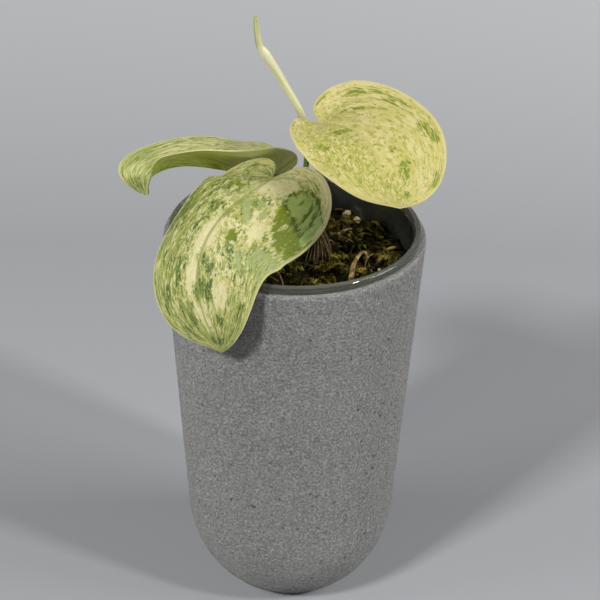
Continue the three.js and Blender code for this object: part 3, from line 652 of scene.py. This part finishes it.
# Live leaf with a marbled skin: waxy satin, with cream, sage and green flecks drawn out along the veins.
def marbledFinish(name, leaf):
    look = leaf["look"]
    material, tree, shader = newFinish(name, Roughness=0.48, Specular_IOR_Level=0.35, IOR=1.42, Subsurface_Weight=0.3, Subsurface_Radius=(1.0, 1.0, 0.35), Subsurface_Scale=0.5 * mm)
    side, out, isLeft, along = leafPlace(tree)
    vein = veinRows(tree, leaf, out, isLeft, along)
    place = addNode(tree, "Attribute", attribute_name="flatPlace", output=1)
    reach = addNode(tree, "Math", {0: along, 1: 2.0, 2: out}, operation="MULTIPLY_ADD")
    wander = addNode(tree, "TexNoise", {"Vector": place, "Scale": 0.3, "Detail": 3.0, "Roughness": 0.6})
    shifted = addNode(tree, "Math", {0: wander, 1: look["wander"], 2: vein}, operation="MULTIPLY_ADD")
    zones = addNode(tree, "Attribute", attribute_name="zones")
    painted = dict(zip(("green", "olive", "ivory"), addNode(tree, "SeparateColor", {"Color": zones}).node.outputs))
    painted["sage"] = zones.node.outputs["Alpha"]
    colour = look["ground"]
    for i, layer in enumerate(look["layers"]):
        if "specks" in layer:  # round specks of a size in mm, for where the marbling doesn't follow the veins
            fleck = addNode(tree, "TexNoise", {"Vector": place, "Scale": 1 / layer["specks"], "Detail": 3.0, "Roughness": 0.6})
        else:
            spot = addNode(tree, "CombineXYZ", {
                "X": addNode(tree, "Math", {0: reach, 1: layer["along"]}, operation="MULTIPLY"),
                "Y": addNode(tree, "Math", {0: shifted, 1: layer["across"]}, operation="MULTIPLY"),
                "Z": addNode(tree, "Math", {0: isLeft, 1: 5.3, 2: 7.7 * i + look["seed"]}, operation="MULTIPLY_ADD")})
            fleck = addNode(tree, "TexNoise", {"Vector": spot, "Scale": 1.0, "Detail": 4.0, "Roughness": 0.66})
        for zone, push in layer.get("push", {}).items():
            fleck = addNode(tree, "Math", {0: painted[zone], 1: push, 2: fleck}, operation="MULTIPLY_ADD")
        level, soft = layer["level"], layer["soft"]
        here = addNode(tree, "MapRange", {"Value": fleck, "From Min": level - soft, "From Max": level + soft, "To Max": layer.get("cover", 1.0)}, interpolation_type="SMOOTHSTEP")
        colour = addNode(tree, "Mix", {0: here, 6: colour, 7: layer["tone"]}, data_type="RGBA")
    # painted shade: a darker line along the midrib, standing in for the shade in its crease
    rib = addNode(tree, "MapRange", {"Value": out, "From Min": 0.01, "From Max": 0.04, "To Min": 0.65, "To Max": 0.0}, interpolation_type="SMOOTHSTEP")
    colour = addNode(tree, "Mix", {0: rib, 6: colour, 7: look["rib"]}, data_type="RGBA")
    bare = addNode(tree, "Math", {0: painted["ivory"], 1: -1.0, 2: 1.0}, operation="MULTIPLY_ADD", use_clamp=True)
    lines = addNode(tree, "Math", {0: rootLines(tree, place, 19), 1: bare}, operation="MULTIPLY")
    colour = addNode(tree, "Mix", {0: lines, 6: colour, 7: look["root"]}, data_type="RGBA")
    margin = addNode(tree, "MapRange", {"Value": out, "From Min": 0.95, "From Max": 0.975, "To Max": 0.8})
    tree.links.new(addNode(tree, "Mix", {0: margin, 6: colour, 7: look["margin"]}, data_type="RGBA"), shader.inputs["Base Color"])
    ridge = addNode(tree, "Math", {0: addNode(tree, "Math", {0: vein, 1: leaf["veins"] * 2 * math.pi}, operation="MULTIPLY")}, operation="SINE")
    fine = addNode(tree, "TexNoise", {"Vector": place, "Scale": 1.1, "Detail": 4.0, "Roughness": 0.6})
    height = addNode(tree, "Math", {0: ridge, 1: 0.2, 2: fine}, operation="MULTIPLY_ADD")
    tree.links.new(addNode(tree, "Bump", {"Height": height, "Strength": 0.5, "Distance": 0.4 * mm}), shader.inputs["Normal"])
    return material


# Fine veins fan out from where the stalk joins, and fade away over some millimetres.
def rootLines(tree, place, reach):
    spot = addNode(tree, "SeparateXYZ", {"Vector": place}).node
    turn = addNode(tree, "Math", {0: spot.outputs["Y"], 1: spot.outputs["X"]}, operation="ARCTAN2")
    away = addNode(tree, "VectorMath", {0: place}, output=1, operation="LENGTH")
    ray = addNode(tree, "CombineXYZ", {"X": addNode(tree, "Math", {0: turn, 1: 6.0}, operation="MULTIPLY"), "Y": addNode(tree, "Math", {0: away, 1: 0.06}, operation="MULTIPLY")})
    lines = addNode(tree, "MapRange", {"Value": addNode(tree, "TexNoise", {"Vector": ray, "Scale": 1.0, "Detail": 3.0}), "From Min": 0.46, "From Max": 0.6})
    near = addNode(tree, "MapRange", {"Value": away, "From Min": 3.0, "From Max": reach, "To Min": 0.8, "To Max": 0.0})
    return addNode(tree, "Math", {0: lines, 1: near}, operation="MULTIPLY")


# Where a point is on its blade: side from -1 to 1 across, how far out, which half, and how far along.
def leafPlace(tree):
    uv = addNode(tree, "SeparateXYZ", {"Vector": addNode(tree, "UVMap", uv_map="UVMap")}).node
    side = addNode(tree, "Math", {0: uv.outputs["X"], 1: -2.0, 2: 1.0}, operation="MULTIPLY_ADD")
    out = addNode(tree, "Math", {0: side}, operation="ABSOLUTE")
    isLeft = addNode(tree, "Math", {0: side, 1: 0.0}, operation="GREATER_THAN")
    return side, out, isLeft, uv.outputs["Y"]


# Where the vein through a point leaves the midrib: veins set off at a slant and bend towards the tip.
def veinRows(tree, leaf, out, isLeft, along):
    bend = addNode(tree, "Mix", {0: isLeft, 2: leaf["bend"][-1], 3: leaf["bend"][1]}, data_type="FLOAT")
    bend = addNode(tree, "Math", {0: bend, 1: addNode(tree, "MapRange", {"Value": along, "From Max": 0.6, "To Min": 0.15}, output=0)}, operation="MULTIPLY")
    inward = addNode(tree, "Math", {0: out, 1: -0.8, 2: 1.0}, operation="MULTIPLY_ADD")
    inward = addNode(tree, "Math", {0: inward, 1: math.e}, operation="LOGARITHM")
    late = addNode(tree, "MapRange", {"Value": along, "From Min": 0.55, "From Max": 1.0, "To Max": 0.45})
    row = addNode(tree, "Math", {0: addNode(tree, "Math", {0: late, 1: 2.0}, operation="POWER"), 1: -1.11, 2: along}, operation="MULTIPLY_ADD")
    return addNode(tree, "Math", {0: bend, 1: inward, 2: row}, operation="MULTIPLY_ADD")


def veinRow(leaf, half, out, q):  # the same for the relief
    bend = leaf["bend"][half] * (0.15 + 0.85 * min(1, q / 0.6))
    return q - 1.11 * max(0, q - 0.55) ** 2 + bend * math.log(1 - 0.8 * min(1, out))


# The lower skin: duller, olive, with the veins showing as paler lines, and painted light that makes it paler towards
# the stalk.
def lowerFinish(name, leaf):
    material, tree, shader = newFinish(name, Roughness=0.6, Specular_IOR_Level=0.3, Subsurface_Weight=1.0, Subsurface_Radius=(1.0, 1.0, 0.5), Subsurface_Scale=6 * mm)
    side, out, isLeft, along = leafPlace(tree)
    vein = veinRows(tree, leaf, out, isLeft, along)
    spot = addNode(tree, "CombineXYZ", {
        "X": addNode(tree, "Math", {0: addNode(tree, "Math", {0: along, 1: 2.0, 2: out}, operation="MULTIPLY_ADD"), 1: 3.0}, operation="MULTIPLY"),
        "Y": addNode(tree, "Math", {0: vein, 1: 30.0}, operation="MULTIPLY")})
    streak = addNode(tree, "TexNoise", {"Vector": spot, "Scale": 1.0, "Detail": 4.0, "Roughness": 0.65})
    tones = leaf["look"]["under"]
    colour = addNode(tree, "ValToRGB", {"Fac": streak}, stops=[(0.34, tones[0]), (0.68, tones[2]), (0.5, tones[1])])
    # painted light: the skin is painted paler towards the stalk, standing in for light falling on it there
    root = addNode(tree, "MapRange", {"Value": along, "From Min": 0.5, "From Max": 0.34})
    colour = addNode(tree, "Mix", {0: root, 6: colour, 7: tones[3]}, data_type="RGBA")
    place = addNode(tree, "Attribute", attribute_name="flatPlace", output=1)
    tree.links.new(addNode(tree, "Mix", {0: rootLines(tree, place, 34), 6: colour, 7: tones[1]}, data_type="RGBA"), shader.inputs["Base Color"])
    ridge = addNode(tree, "Math", {0: addNode(tree, "Math", {0: vein, 1: leaf["veins"] * 2 * math.pi}, operation="MULTIPLY")}, operation="SINE")
    tree.links.new(addNode(tree, "Bump", {"Height": ridge, "Strength": 0.4, "Distance": 0.3 * mm}), shader.inputs["Normal"])
    return material


# Layers of marbling, from the bottom up: flecks per half blade along a vein and per blade across the veins,
# the noise level where they start, how soft their edge is, and what a painted zone adds to the level.
frontLeaf = {
    "sinus": (-10.6, -15.5, 233.2), "length": 100, "leftHalf": 39.35, "rightHalf": 35.7, "lobe": 17.6,
    "notch": 0.15, "fullness": 0.85, "tipWidth": 0.2, "tipReach": 0.93, "lobeLift": 3.6,
    "heading": (242.2, 166.4, 274.7, 382.9), "rise": (5, -45.5, -64.1, -66.2), "roll": (7.4, -16.4, 12.7, 139.9),
    "fold": 1.1, "rightCamber": (-23.8, -40.5, -22.3), "leftCamber": (-95.8, -52.8, -27.8),
    "wave": 0.5, "waves": 4.5, "quilt": 0.12, "veins": 15, "bend": {1: 0.45, -1: 0.3},
    "tipShift": (0, 0, 0), "swell": (0, 0, 0), "slimTip": 0, "relax": (0, 0),
    "patches": [
        (0, 2.0, (0.40, 0.275, 0.33), (0.70, 0.25, 0.37)), (0, 2.0, (0.70, 0.25, 0.37), (0.95, 0.315, 0.41)),
        (1, 1.0, (0.44, 0.33, 0.37), (0.62, 0.35, 0.445)), (1, 1.0, (0.62, 0.36, 0.445), (0.97, 0.41, 0.505)),
        (1, 0.9, (-0.42, 0.335, 0.385), (-0.14, 0.305, 0.35)),
        (2, 1.0, (-0.05, 0.20, 0.30), (0.42, 0.19, 0.30)), (2, 0.4, (0.02, 0.0, 0.22), (0.85, 0.0, 0.2)), (2, 0.9, (0.28, 0.36, 0.40), (0.55, 0.42, 0.56)),
        (2, 1.0, (-0.14, 0.52, 0.64), (0.1, 0.46, 0.60)), (2, 0.9, (-0.2, 0.66, 0.79), (-0.02, 0.65, 0.71)),
        (2, 0.8, (0.28, 0.70, 0.82), (0.5, 0.74, 0.82)), (2, 0.9, (-0.12, 0.80, 0.9), (0.1, 0.79, 0.89)),
        (3, 2.0, (0.04, 0.33, 0.375), (0.32, 0.425, 0.475)), (3, 2.0, (0.18, 0.325, 0.36), (0.43, 0.39, 0.43)),
        (3, 2.0, (0.46, 0.56, 0.62), (0.63, 0.66, 0.70)), (3, 1.7, (0.58, 0.50, 0.62), (1.0, 0.52, 0.78)),
        (3, 0.45, (-1.0, 0.35, 0.95), (-0.4, 0.4, 0.95)),
        (0, 0.9, (0.28, 0.50, 0.55), (0.48, 0.62, 0.675)), (0, 1.0, (0.06, 0.63, 0.665), (0.24, 0.655, 0.70)),
        (0, 1.0, (-0.08, 0.725, 0.785), (0.27, 0.72, 0.795)), (0, 0.8, (-0.42, 0.65, 0.74), (-0.30, 0.64, 0.71)),
        (0, 0.9, (-0.36, 0.45, 0.49), (-0.14, 0.44, 0.475)), (0, 0.7, (-1.0, 0.53, 0.60), (-0.6, 0.47, 0.52)),
        (0, 0.6, (-0.95, 0.57, 0.63), (-0.75, 0.56, 0.62)), (0, 0.6, (-0.75, 0.72, 0.77), (-0.55, 0.71, 0.76)),
        (0, 0.8, (-0.36, 0.83, 0.875), (-0.2, 0.83, 0.87)), (0, 0.9, (0.3, 0.84, 0.89), (0.46, 0.85, 0.89)),
        (0, 0.7, (0.72, 0.81, 0.86), (0.86, 0.81, 0.86)), (0, 1.0, (-0.2, 0.93, 0.96), (0.5, 0.925, 0.96)),
        (0, 0.22, (-1.0, 0.3, 0.97), (-0.2, 0.3, 0.97)), (1, 0.9, (0.24, 0.505, 0.555), (0.36, 0.50, 0.55)),
        (2, 0.75, (0.80, 0.12, 0.33), (1.0, 0.12, 0.38)), (3, 0.6, (-0.3, 0.82, 1.02), (1.0, 0.78, 1.02)), (0, 0.2, (-0.3, 0.84, 1.02), (1.0, 0.8, 1.02)),
    ],
    "look": {
        "seed": 1.0, "ground": "#dcd49d", "margin": "#cfcd95", "rib": "#8c9852", "root": "#71833f", "wander": 0.014,
        "layers": [
            {"tone": "#c6c47c", "along": 4.0, "across": 16, "level": 0.47, "soft": 0.07, "push": {"ivory": -0.1, "sage": 0.08}},
            {"tone": "#a8ab58", "along": 8.0, "across": 28, "level": 0.54, "soft": 0.04, "push": {"ivory": -0.1, "sage": 0.07}},
            {"tone": "#8c9a50", "along": 6.0, "across": 20, "level": 0.58, "soft": 0.04, "push": {"ivory": -0.12, "sage": 0.08}},
            {"tone": "#9ea548", "specks": 2.4, "level": 0.60, "soft": 0.04, "push": {"ivory": -0.08}},
            {"tone": "#7c8c40", "along": 10.0, "across": 36, "level": 0.585, "soft": 0.03, "push": {"green": 0.17, "ivory": -0.1, "sage": 0.01}},
            {"tone": "#566b2c", "along": 8.0, "across": 28, "level": 0.615, "soft": 0.035, "push": {"green": 0.14, "ivory": -0.1}},
            {"tone": "#aabd69", "along": 8.0, "across": 30, "level": 0.755, "soft": 0.06, "push": {"green": 0.165}},
            {"tone": "#b9c484", "specks": 1.3, "level": 0.86, "soft": 0.05, "cover": 0.6, "push": {"green": 0.13}},
            {"tone": "#77861b", "along": 8.0, "across": 24, "level": 0.68, "soft": 0.03, "push": {"olive": 0.28, "ivory": -0.1}},
            {"tone": "#e4dca8", "along": 13.0, "across": 46, "level": 0.575, "soft": 0.035, "cover": 0.85, "push": {"ivory": 0.1, "green": -0.03, "olive": -0.1}},
            {"tone": "#c9cb8c", "specks": 1.6, "level": 0.66, "soft": 0.05, "cover": 0.6},
            {"tone": "#a9b274", "along": 7.0, "across": 24, "level": 0.79, "soft": 0.07, "cover": 0.85, "push": {"sage": 0.19}},
        ],
        "under": ("#4c5a22", "#66743a", "#8a9456", "#8f9c66"),
    },
}
leftLeaf = {
    "sinus": (-10.3, 23.0, 216.7), "length": 76.3, "leftHalf": 29.9, "rightHalf": 35.2, "lobe": 10.6,
    "notch": 0.13, "fullness": 0.77, "tipWidth": 0.19, "tipReach": 1.01, "lobeLift": 1.7,
    "heading": (180.2, 157.6, 119.7, 239.6), "rise": (2.7, -4.6, 7.6, -62.3), "roll": (26.7, 16.2, 25.3, -8.7),
    "fold": 24.8, "rightCamber": (-1.7, -18.2, -8.9), "leftCamber": (-0.4, -14.4, -38.7),
    "wave": 0.4, "waves": 4.5, "quilt": 0.1, "veins": 14, "bend": {1: 0.3, -1: 0.3},
    "tipShift": (3.4, 0, -0.4), "swell": (-3.0, 0, 0.6), "slimTip": 0.36, "relax": (0, 0),
    "patches": [(0, 1.0, (-1.0, 0.9, 0.97), (0.6, 0.92, 0.985)), (3, 1.0, (-1.0, 0.78, 1.05), (1.0, 0.8, 1.05)), (0, 0.5, (-1.0, 0.6, 0.95), (-0.6, 0.6, 0.95))],
    "look": {
        "seed": 21.0, "ground": "#d6d09c", "margin": "#cdcb8e", "rib": "#a9ad66", "root": "#71833f", "wander": 0.014,
        "layers": [
            {"tone": "#bdbe7c", "along": 4.0, "across": 18, "level": 0.48, "soft": 0.07, "push": {"sage": 0.08}},
            {"tone": "#a1a95f", "along": 7.0, "across": 26, "level": 0.57, "soft": 0.05, "push": {"sage": 0.08}},
            {"tone": "#7b8b3e", "along": 9.0, "across": 32, "level": 0.625, "soft": 0.04, "push": {"green": 0.12, "sage": 0.02}},
            {"tone": "#dcd6a4", "along": 12.0, "across": 44, "level": 0.60, "soft": 0.04, "cover": 0.75},
        ],
        "under": ("#6f8018", "#95a53c", "#c8cf78", "#e4efa6"),
    },
}
rightLeaf = {
    "sinus": (13.9, 3.3, 252.4), "length": 74.8, "leftHalf": 37.6, "rightHalf": 32.6, "lobe": 10.9,
    "notch": 0.09, "fullness": 0.76, "tipWidth": 0.26, "tipReach": 0.91, "lobeLift": 5.5,
    "heading": (-24, -75, -92, -69), "rise": (15.5, -7, -38, -7), "roll": (-6, 6, -11, -13),
    "fold": 4.2, "rightCamber": (-13, -33, -42), "leftCamber": (31, -25, -47),
    "wave": 0.6, "waves": 4, "quilt": 0.1, "veins": 13, "bend": {1: 0.42, -1: 0.55},
    "tipShift": (1.5, 0, 1.8), "swell": (0, 0, 0), "slimTip": 0, "relax": (0.12, 0.52),
    "patches": [
        (0, 1.0, (0.73, 0.28, 0.33), (0.87, 0.33, 0.39)), (0, 0.9, (0.73, 0.38, 0.44), (0.88, 0.40, 0.45)),
        (0, 0.9, (0.70, 0.49, 0.53), (0.86, 0.51, 0.55)), (0, 1.0, (0.80, 0.54, 0.585), (0.94, 0.53, 0.58)),
        (0, 0.8, (0.84, 0.66, 0.78), (1.0, 0.66, 0.76)), (0, 0.7, (0.88, 0.1, 0.24), (1.0, 0.1, 0.26)),
        (0, 1.0, (0.28, 0.68, 0.76), (0.46, 0.65, 0.77)), (0, 1.0, (0.45, 0.83, 0.875), (0.64, 0.85, 0.89)),
        (0, 0.9, (-0.36, 0.38, 0.44), (-0.05, 0.36, 0.40)), (0, 0.8, (-0.78, 0.49, 0.54), (-0.62, 0.53, 0.59)),
        (0, 1.0, (-1.0, 0.14, 0.20), (-0.93, 0.13, 0.19)), (0, 0.8, (-0.95, 0.07, 0.11), (-0.8, 0.05, 0.09)), (0, 0.8, (0.28, 0.19, 0.24), (0.60, 0.36, 0.42)), (0, 0.8, (0.2, 0.57, 0.61), (0.3, 0.59, 0.63)),
        (3, 1.0, (-0.9, 0.3, 0.75), (-0.1, 0.35, 0.8)), (3, 0.8, (-0.7, 0.7, 0.9), (0.5, 0.78, 0.95)),
    ],
    "look": {
        "seed": 40.0, "ground": "#dccf93", "margin": "#dacd90", "rib": "#c9c078", "root": "#a3a552", "wander": 0.014,
        "layers": [
            {"tone": "#cfc57a", "along": 4.0, "across": 12, "level": 0.50, "soft": 0.08},
            {"tone": "#bdb863", "along": 9.0, "across": 24, "level": 0.57, "soft": 0.05, "push": {"sage": 0.06, "green": 0.05}},
            {"tone": "#a9ab50", "specks": 2.6, "level": 0.61, "soft": 0.04, "push": {"sage": 0.04, "green": 0.04}},
            {"tone": "#9ba348", "along": 12.0, "across": 38, "level": 0.615, "soft": 0.04, "push": {"sage": 0.04, "green": 0.11}},
            {"tone": "#7c8d36", "along": 12.0, "across": 40, "level": 0.65, "soft": 0.035, "push": {"sage": 0.03, "green": 0.155}},
        ],
        "under": ("#8f9448", "#aaab5e", "#c3c07c", "#c3c07c"),
    },
}
for name, leaf, node, slot in (("frontBlade", frontLeaf, "leaf_front", "marbled_leaf"), ("leftBlade", leftLeaf, "leaf_left", "marbled_leaf"), ("rightBlade", rightLeaf, "leaf_right", "cream_leaf")):
    piece = growBlade(name, leaf, marbledFinish(name + "Skin", leaf), lowerFinish(name + "LowerSkin", leaf))
    settle(piece, slot, node)
    print(name, "done")


# ---- stem and stalks ----
# Live green stalk: smooth and waxy, with fine lines along it.
stalkSkin, tree, shader = newFinish("waxyStalkSkin", Roughness=0.4, Specular_IOR_Level=0.45)
place = addNode(tree, "TexCoord", output=3)
stretch = addNode(tree, "Mapping", {"Vector": place, "Scale": (1.0, 1.0, 0.15)})
lines = addNode(tree, "TexNoise", {"Vector": stretch, "Scale": 900.0, "Detail": 2.0})
tree.links.new(addNode(tree, "ValToRGB", {"Fac": lines}, stops=[(0.35, "#425f24"), (0.7, "#7d9444")]), shader.inputs["Base Color"])
# Stem under old papery sheaths: brown olive and fibrous.
stemSkin, tree, shader = newFinish("fibrousStemSkin", Roughness=0.8)
place = addNode(tree, "TexCoord", output=3)
stretch = addNode(tree, "Mapping", {"Vector": place, "Scale": (1.0, 1.0, 0.12)})
lines = addNode(tree, "TexNoise", {"Vector": stretch, "Scale": 700.0, "Detail": 4.0, "Roughness": 0.65})
tree.links.new(addNode(tree, "ValToRGB", {"Fac": lines}, stops=[(0.32, "#1f1708"), (0.7, "#86703a"), (0.52, "#4f401c")]), shader.inputs["Base Color"])
tree.links.new(addNode(tree, "Bump", {"Height": lines, "Strength": 0.8, "Distance": 0.5 * mm}), shader.inputs["Normal"])

stem = {"path": [(12, 2, 162, 3.8), (12, 2, 178, 3.9), (11.6, 2.2, 190, 3.9), (8.6, 3.6, 202, 3.6), (5.2, 5, 212, 3.3)], "fibres": 54}
sheath = [stem["path"]]
for i in range(stem["fibres"]):
    angle = 2 * math.pi * i / stem["fibres"] + random.gauss(0, 0.1)
    ox, oy = math.cos(angle), math.sin(angle)
    front = max(0, -oy)
    spread, top = random.uniform(5, 7.6) + 5.5 * front ** 2, random.uniform(196, 203)
    lean = (12 - 3.4 * (top - 190) / 12, 2.2 + 1.4 * (top - 190) / 12)
    wobble = random.gauss(0, 0.5)
    sheath.append([
        (lean[0] + ox * 3.4, lean[1] + oy * 3.4, top, 0.25), (11 + ox * 4.2 + wobble, 2.5 + oy * 4.2, 195, 0.42),
        (11 + ox * (spread - 1.4), 2.1 + oy * (spread - 1.4) + wobble, 190.8, 0.46), (10.6 + ox * spread, 2 + oy * spread, 186.6, 0.34)])
stemPiece = tubes("sheathedStem", sheath, sides=8)
dress(stemPiece, stemSkin)
settle(stemPiece, "stem_bark", "stem")


def stalkPath(leaf, points, foot, top):
    x, place, left, normal = midrib(leaf)(0)
    path = [Vector(p) for p in points] + [place - normal * 4.5, place - normal * 0.7]
    return [(*p, foot + (top - foot) * (i / (len(path) - 1)) ** 0.6) for i, p in enumerate(path)]


stalks = {
    "frontStalk": ("petiole_front", stalkPath(frontLeaf, [(7.2, -2.2, 196), (4.5, -5.4, 206), (-1.5, -10.5, 217)], 1.8, 1.2)),
    "leftStalk": ("petiole_left", stalkPath(leftLeaf, [(4.6, 7.3, 201), (-0.6, 12.6, 205), (-6, 18, 208.6)], 1.8, 1.2)),
    "rightStalk": ("petiole_right", stalkPath(rightLeaf, [(5.4, 3.7, 212.6), (4.3, 4.6, 222), (4.6, 5, 234), (7.8, 5, 243)], 1.6, 1.0)),
}
for name, (node, path) in stalks.items():
    stalk = tubes(name, [path], sides=16)
    dress(stalk, stalkSkin)
    settle(stalk, "green_stalk", node)
print("stem and stalks done")


# ---- new leaf: one thin blade rolled up tight round itself ----
newLeaf = {
    "points": [(4.6, 7.2, 212.6), (4.2, 8.6, 224), (4.9, 9, 238), (3.2, 8.4, 252), (-6.4, 8, 270.4), (-14.2, 7.6, 283.6), (-17, 7.4, 288), (-18.2, 7.4, 295), (-18.8, 7.4, 301.4)],
    "radii": [0.9, 0.85, 0.9, 1.65, 1.95, 2.35, 1.6, 1.4, 0.85], "rows": 120, "round": 56, "turns": 1.35, "wrap": 0.22,
}


def alongPoints(points, t):  # Catmull-Rom through the points
    scaled = t * (len(points) - 1)
    i = min(int(scaled), len(points) - 2)
    f = scaled - i
    p = [Vector(points[min(max(i + k, 0), len(points) - 1)]) for k in (-1, 0, 1, 2)]
    return 0.5 * (2 * p[1] + (p[2] - p[0]) * f + (2 * p[0] - 5 * p[1] + 4 * p[2] - p[3]) * f * f + (3 * p[1] - p[0] - 3 * p[2] + p[3]) * f ** 3)


deselectAll()
bpy.ops.mesh.primitive_grid_add(x_subdivisions=newLeaf["round"], y_subdivisions=newLeaf["rows"], size=2, calc_uvs=True)
roll = bpy.context.object
roll.name = "rolledLeaf"
for v in roll.data.vertices:
    share, t = (v.co.x + 1) / 2, (v.co.y + 1) / 2
    centre = alongPoints(newLeaf["points"], t)
    tangent = (alongPoints(newLeaf["points"], min(1, t + 0.01)) - alongPoints(newLeaf["points"], max(0, t - 0.01))).normalized()
    across = tangent.cross(Vector((0, 1, 0))).normalized()
    back = across.cross(tangent)
    scaled = t * (len(newLeaf["radii"]) - 1)
    low = min(int(scaled), len(newLeaf["radii"]) - 2)
    radius = newLeaf["radii"][low] + (newLeaf["radii"][low + 1] - newLeaf["radii"][low]) * (scaled - low)
    angle = share * newLeaf["turns"] * 2 * math.pi - 2.2 + 0.9 * t
    spiral = radius * (0.78 + newLeaf["wrap"] * share)
    v.co = (centre + across * math.cos(angle) * spiral + back * math.sin(angle) * spiral) * mm
shell = roll.modifiers.new("thickness", "SOLIDIFY")
shell.thickness = 0.22 * mm
shell.offset = 0
bpy.ops.object.modifier_apply(modifier="thickness")
bpy.ops.object.mode_set(mode="EDIT")
bpy.ops.mesh.select_all(action="SELECT")
bpy.ops.mesh.normals_make_consistent(inside=False)
bpy.ops.object.mode_set(mode="OBJECT")
bpy.ops.object.shade_smooth_by_angle(angle=math.radians(50))
# A leaf that hasn't opened: pale cream skin with a faint green flush and fine lines along it.
young, tree, shader = newFinish("youngRolledSkin", Roughness=0.4, Specular_IOR_Level=0.45)
uvNode = addNode(tree, "SeparateXYZ", {"Vector": addNode(tree, "UVMap", uv_map="UVMap")}).node
grainPlace = addNode(tree, "CombineXYZ", {"X": addNode(tree, "Math", {0: uvNode.outputs["X"], 1: 22.0}, operation="MULTIPLY"), "Y": addNode(tree, "Math", {0: uvNode.outputs["Y"], 1: 7.0}, operation="MULTIPLY")})
lines = addNode(tree, "TexNoise", {"Vector": grainPlace, "Scale": 1.0, "Detail": 3.0})
tone = addNode(tree, "ValToRGB", {"Fac": lines}, stops=[(0.3, "#cdca92"), (0.7, "#e9e5c2"), (0.5, "#dfdbac")])
greener = addNode(tree, "MapRange", {"Value": uvNode.outputs["Y"], "From Min": 0.66, "From Max": 0.95, "To Min": 0.0, "To Max": 0.6})
tone = addNode(tree, "Mix", {0: greener, 6: tone, 7: "#a9ad6c"}, data_type="RGBA")
seam = addNode(tree, "Math", {0: uvNode.outputs["X"], 1: 0.86, 2: 0.055}, operation="COMPARE")  # the green edge of the outer wrap
seam = addNode(tree, "Math", {0: seam, 1: addNode(tree, "MapRange", {"Value": uvNode.outputs["Y"], "From Min": 0.7, "From Max": 0.78, "To Max": 0.8})}, operation="MULTIPLY")
tone = addNode(tree, "Mix", {0: seam, 6: tone, 7: "#7d9030"}, data_type="RGBA")
foot = addNode(tree, "MapRange", {"Value": uvNode.outputs["Y"], "From Min": 0.42, "From Max": 0.32})
tree.links.new(addNode(tree, "Mix", {0: foot, 6: tone, 7: "#4b6528"}, data_type="RGBA"), shader.inputs["Base Color"])
dress(roll, young)
settle(roll, "young_leaf", "new_leaf")
print("new leaf done")
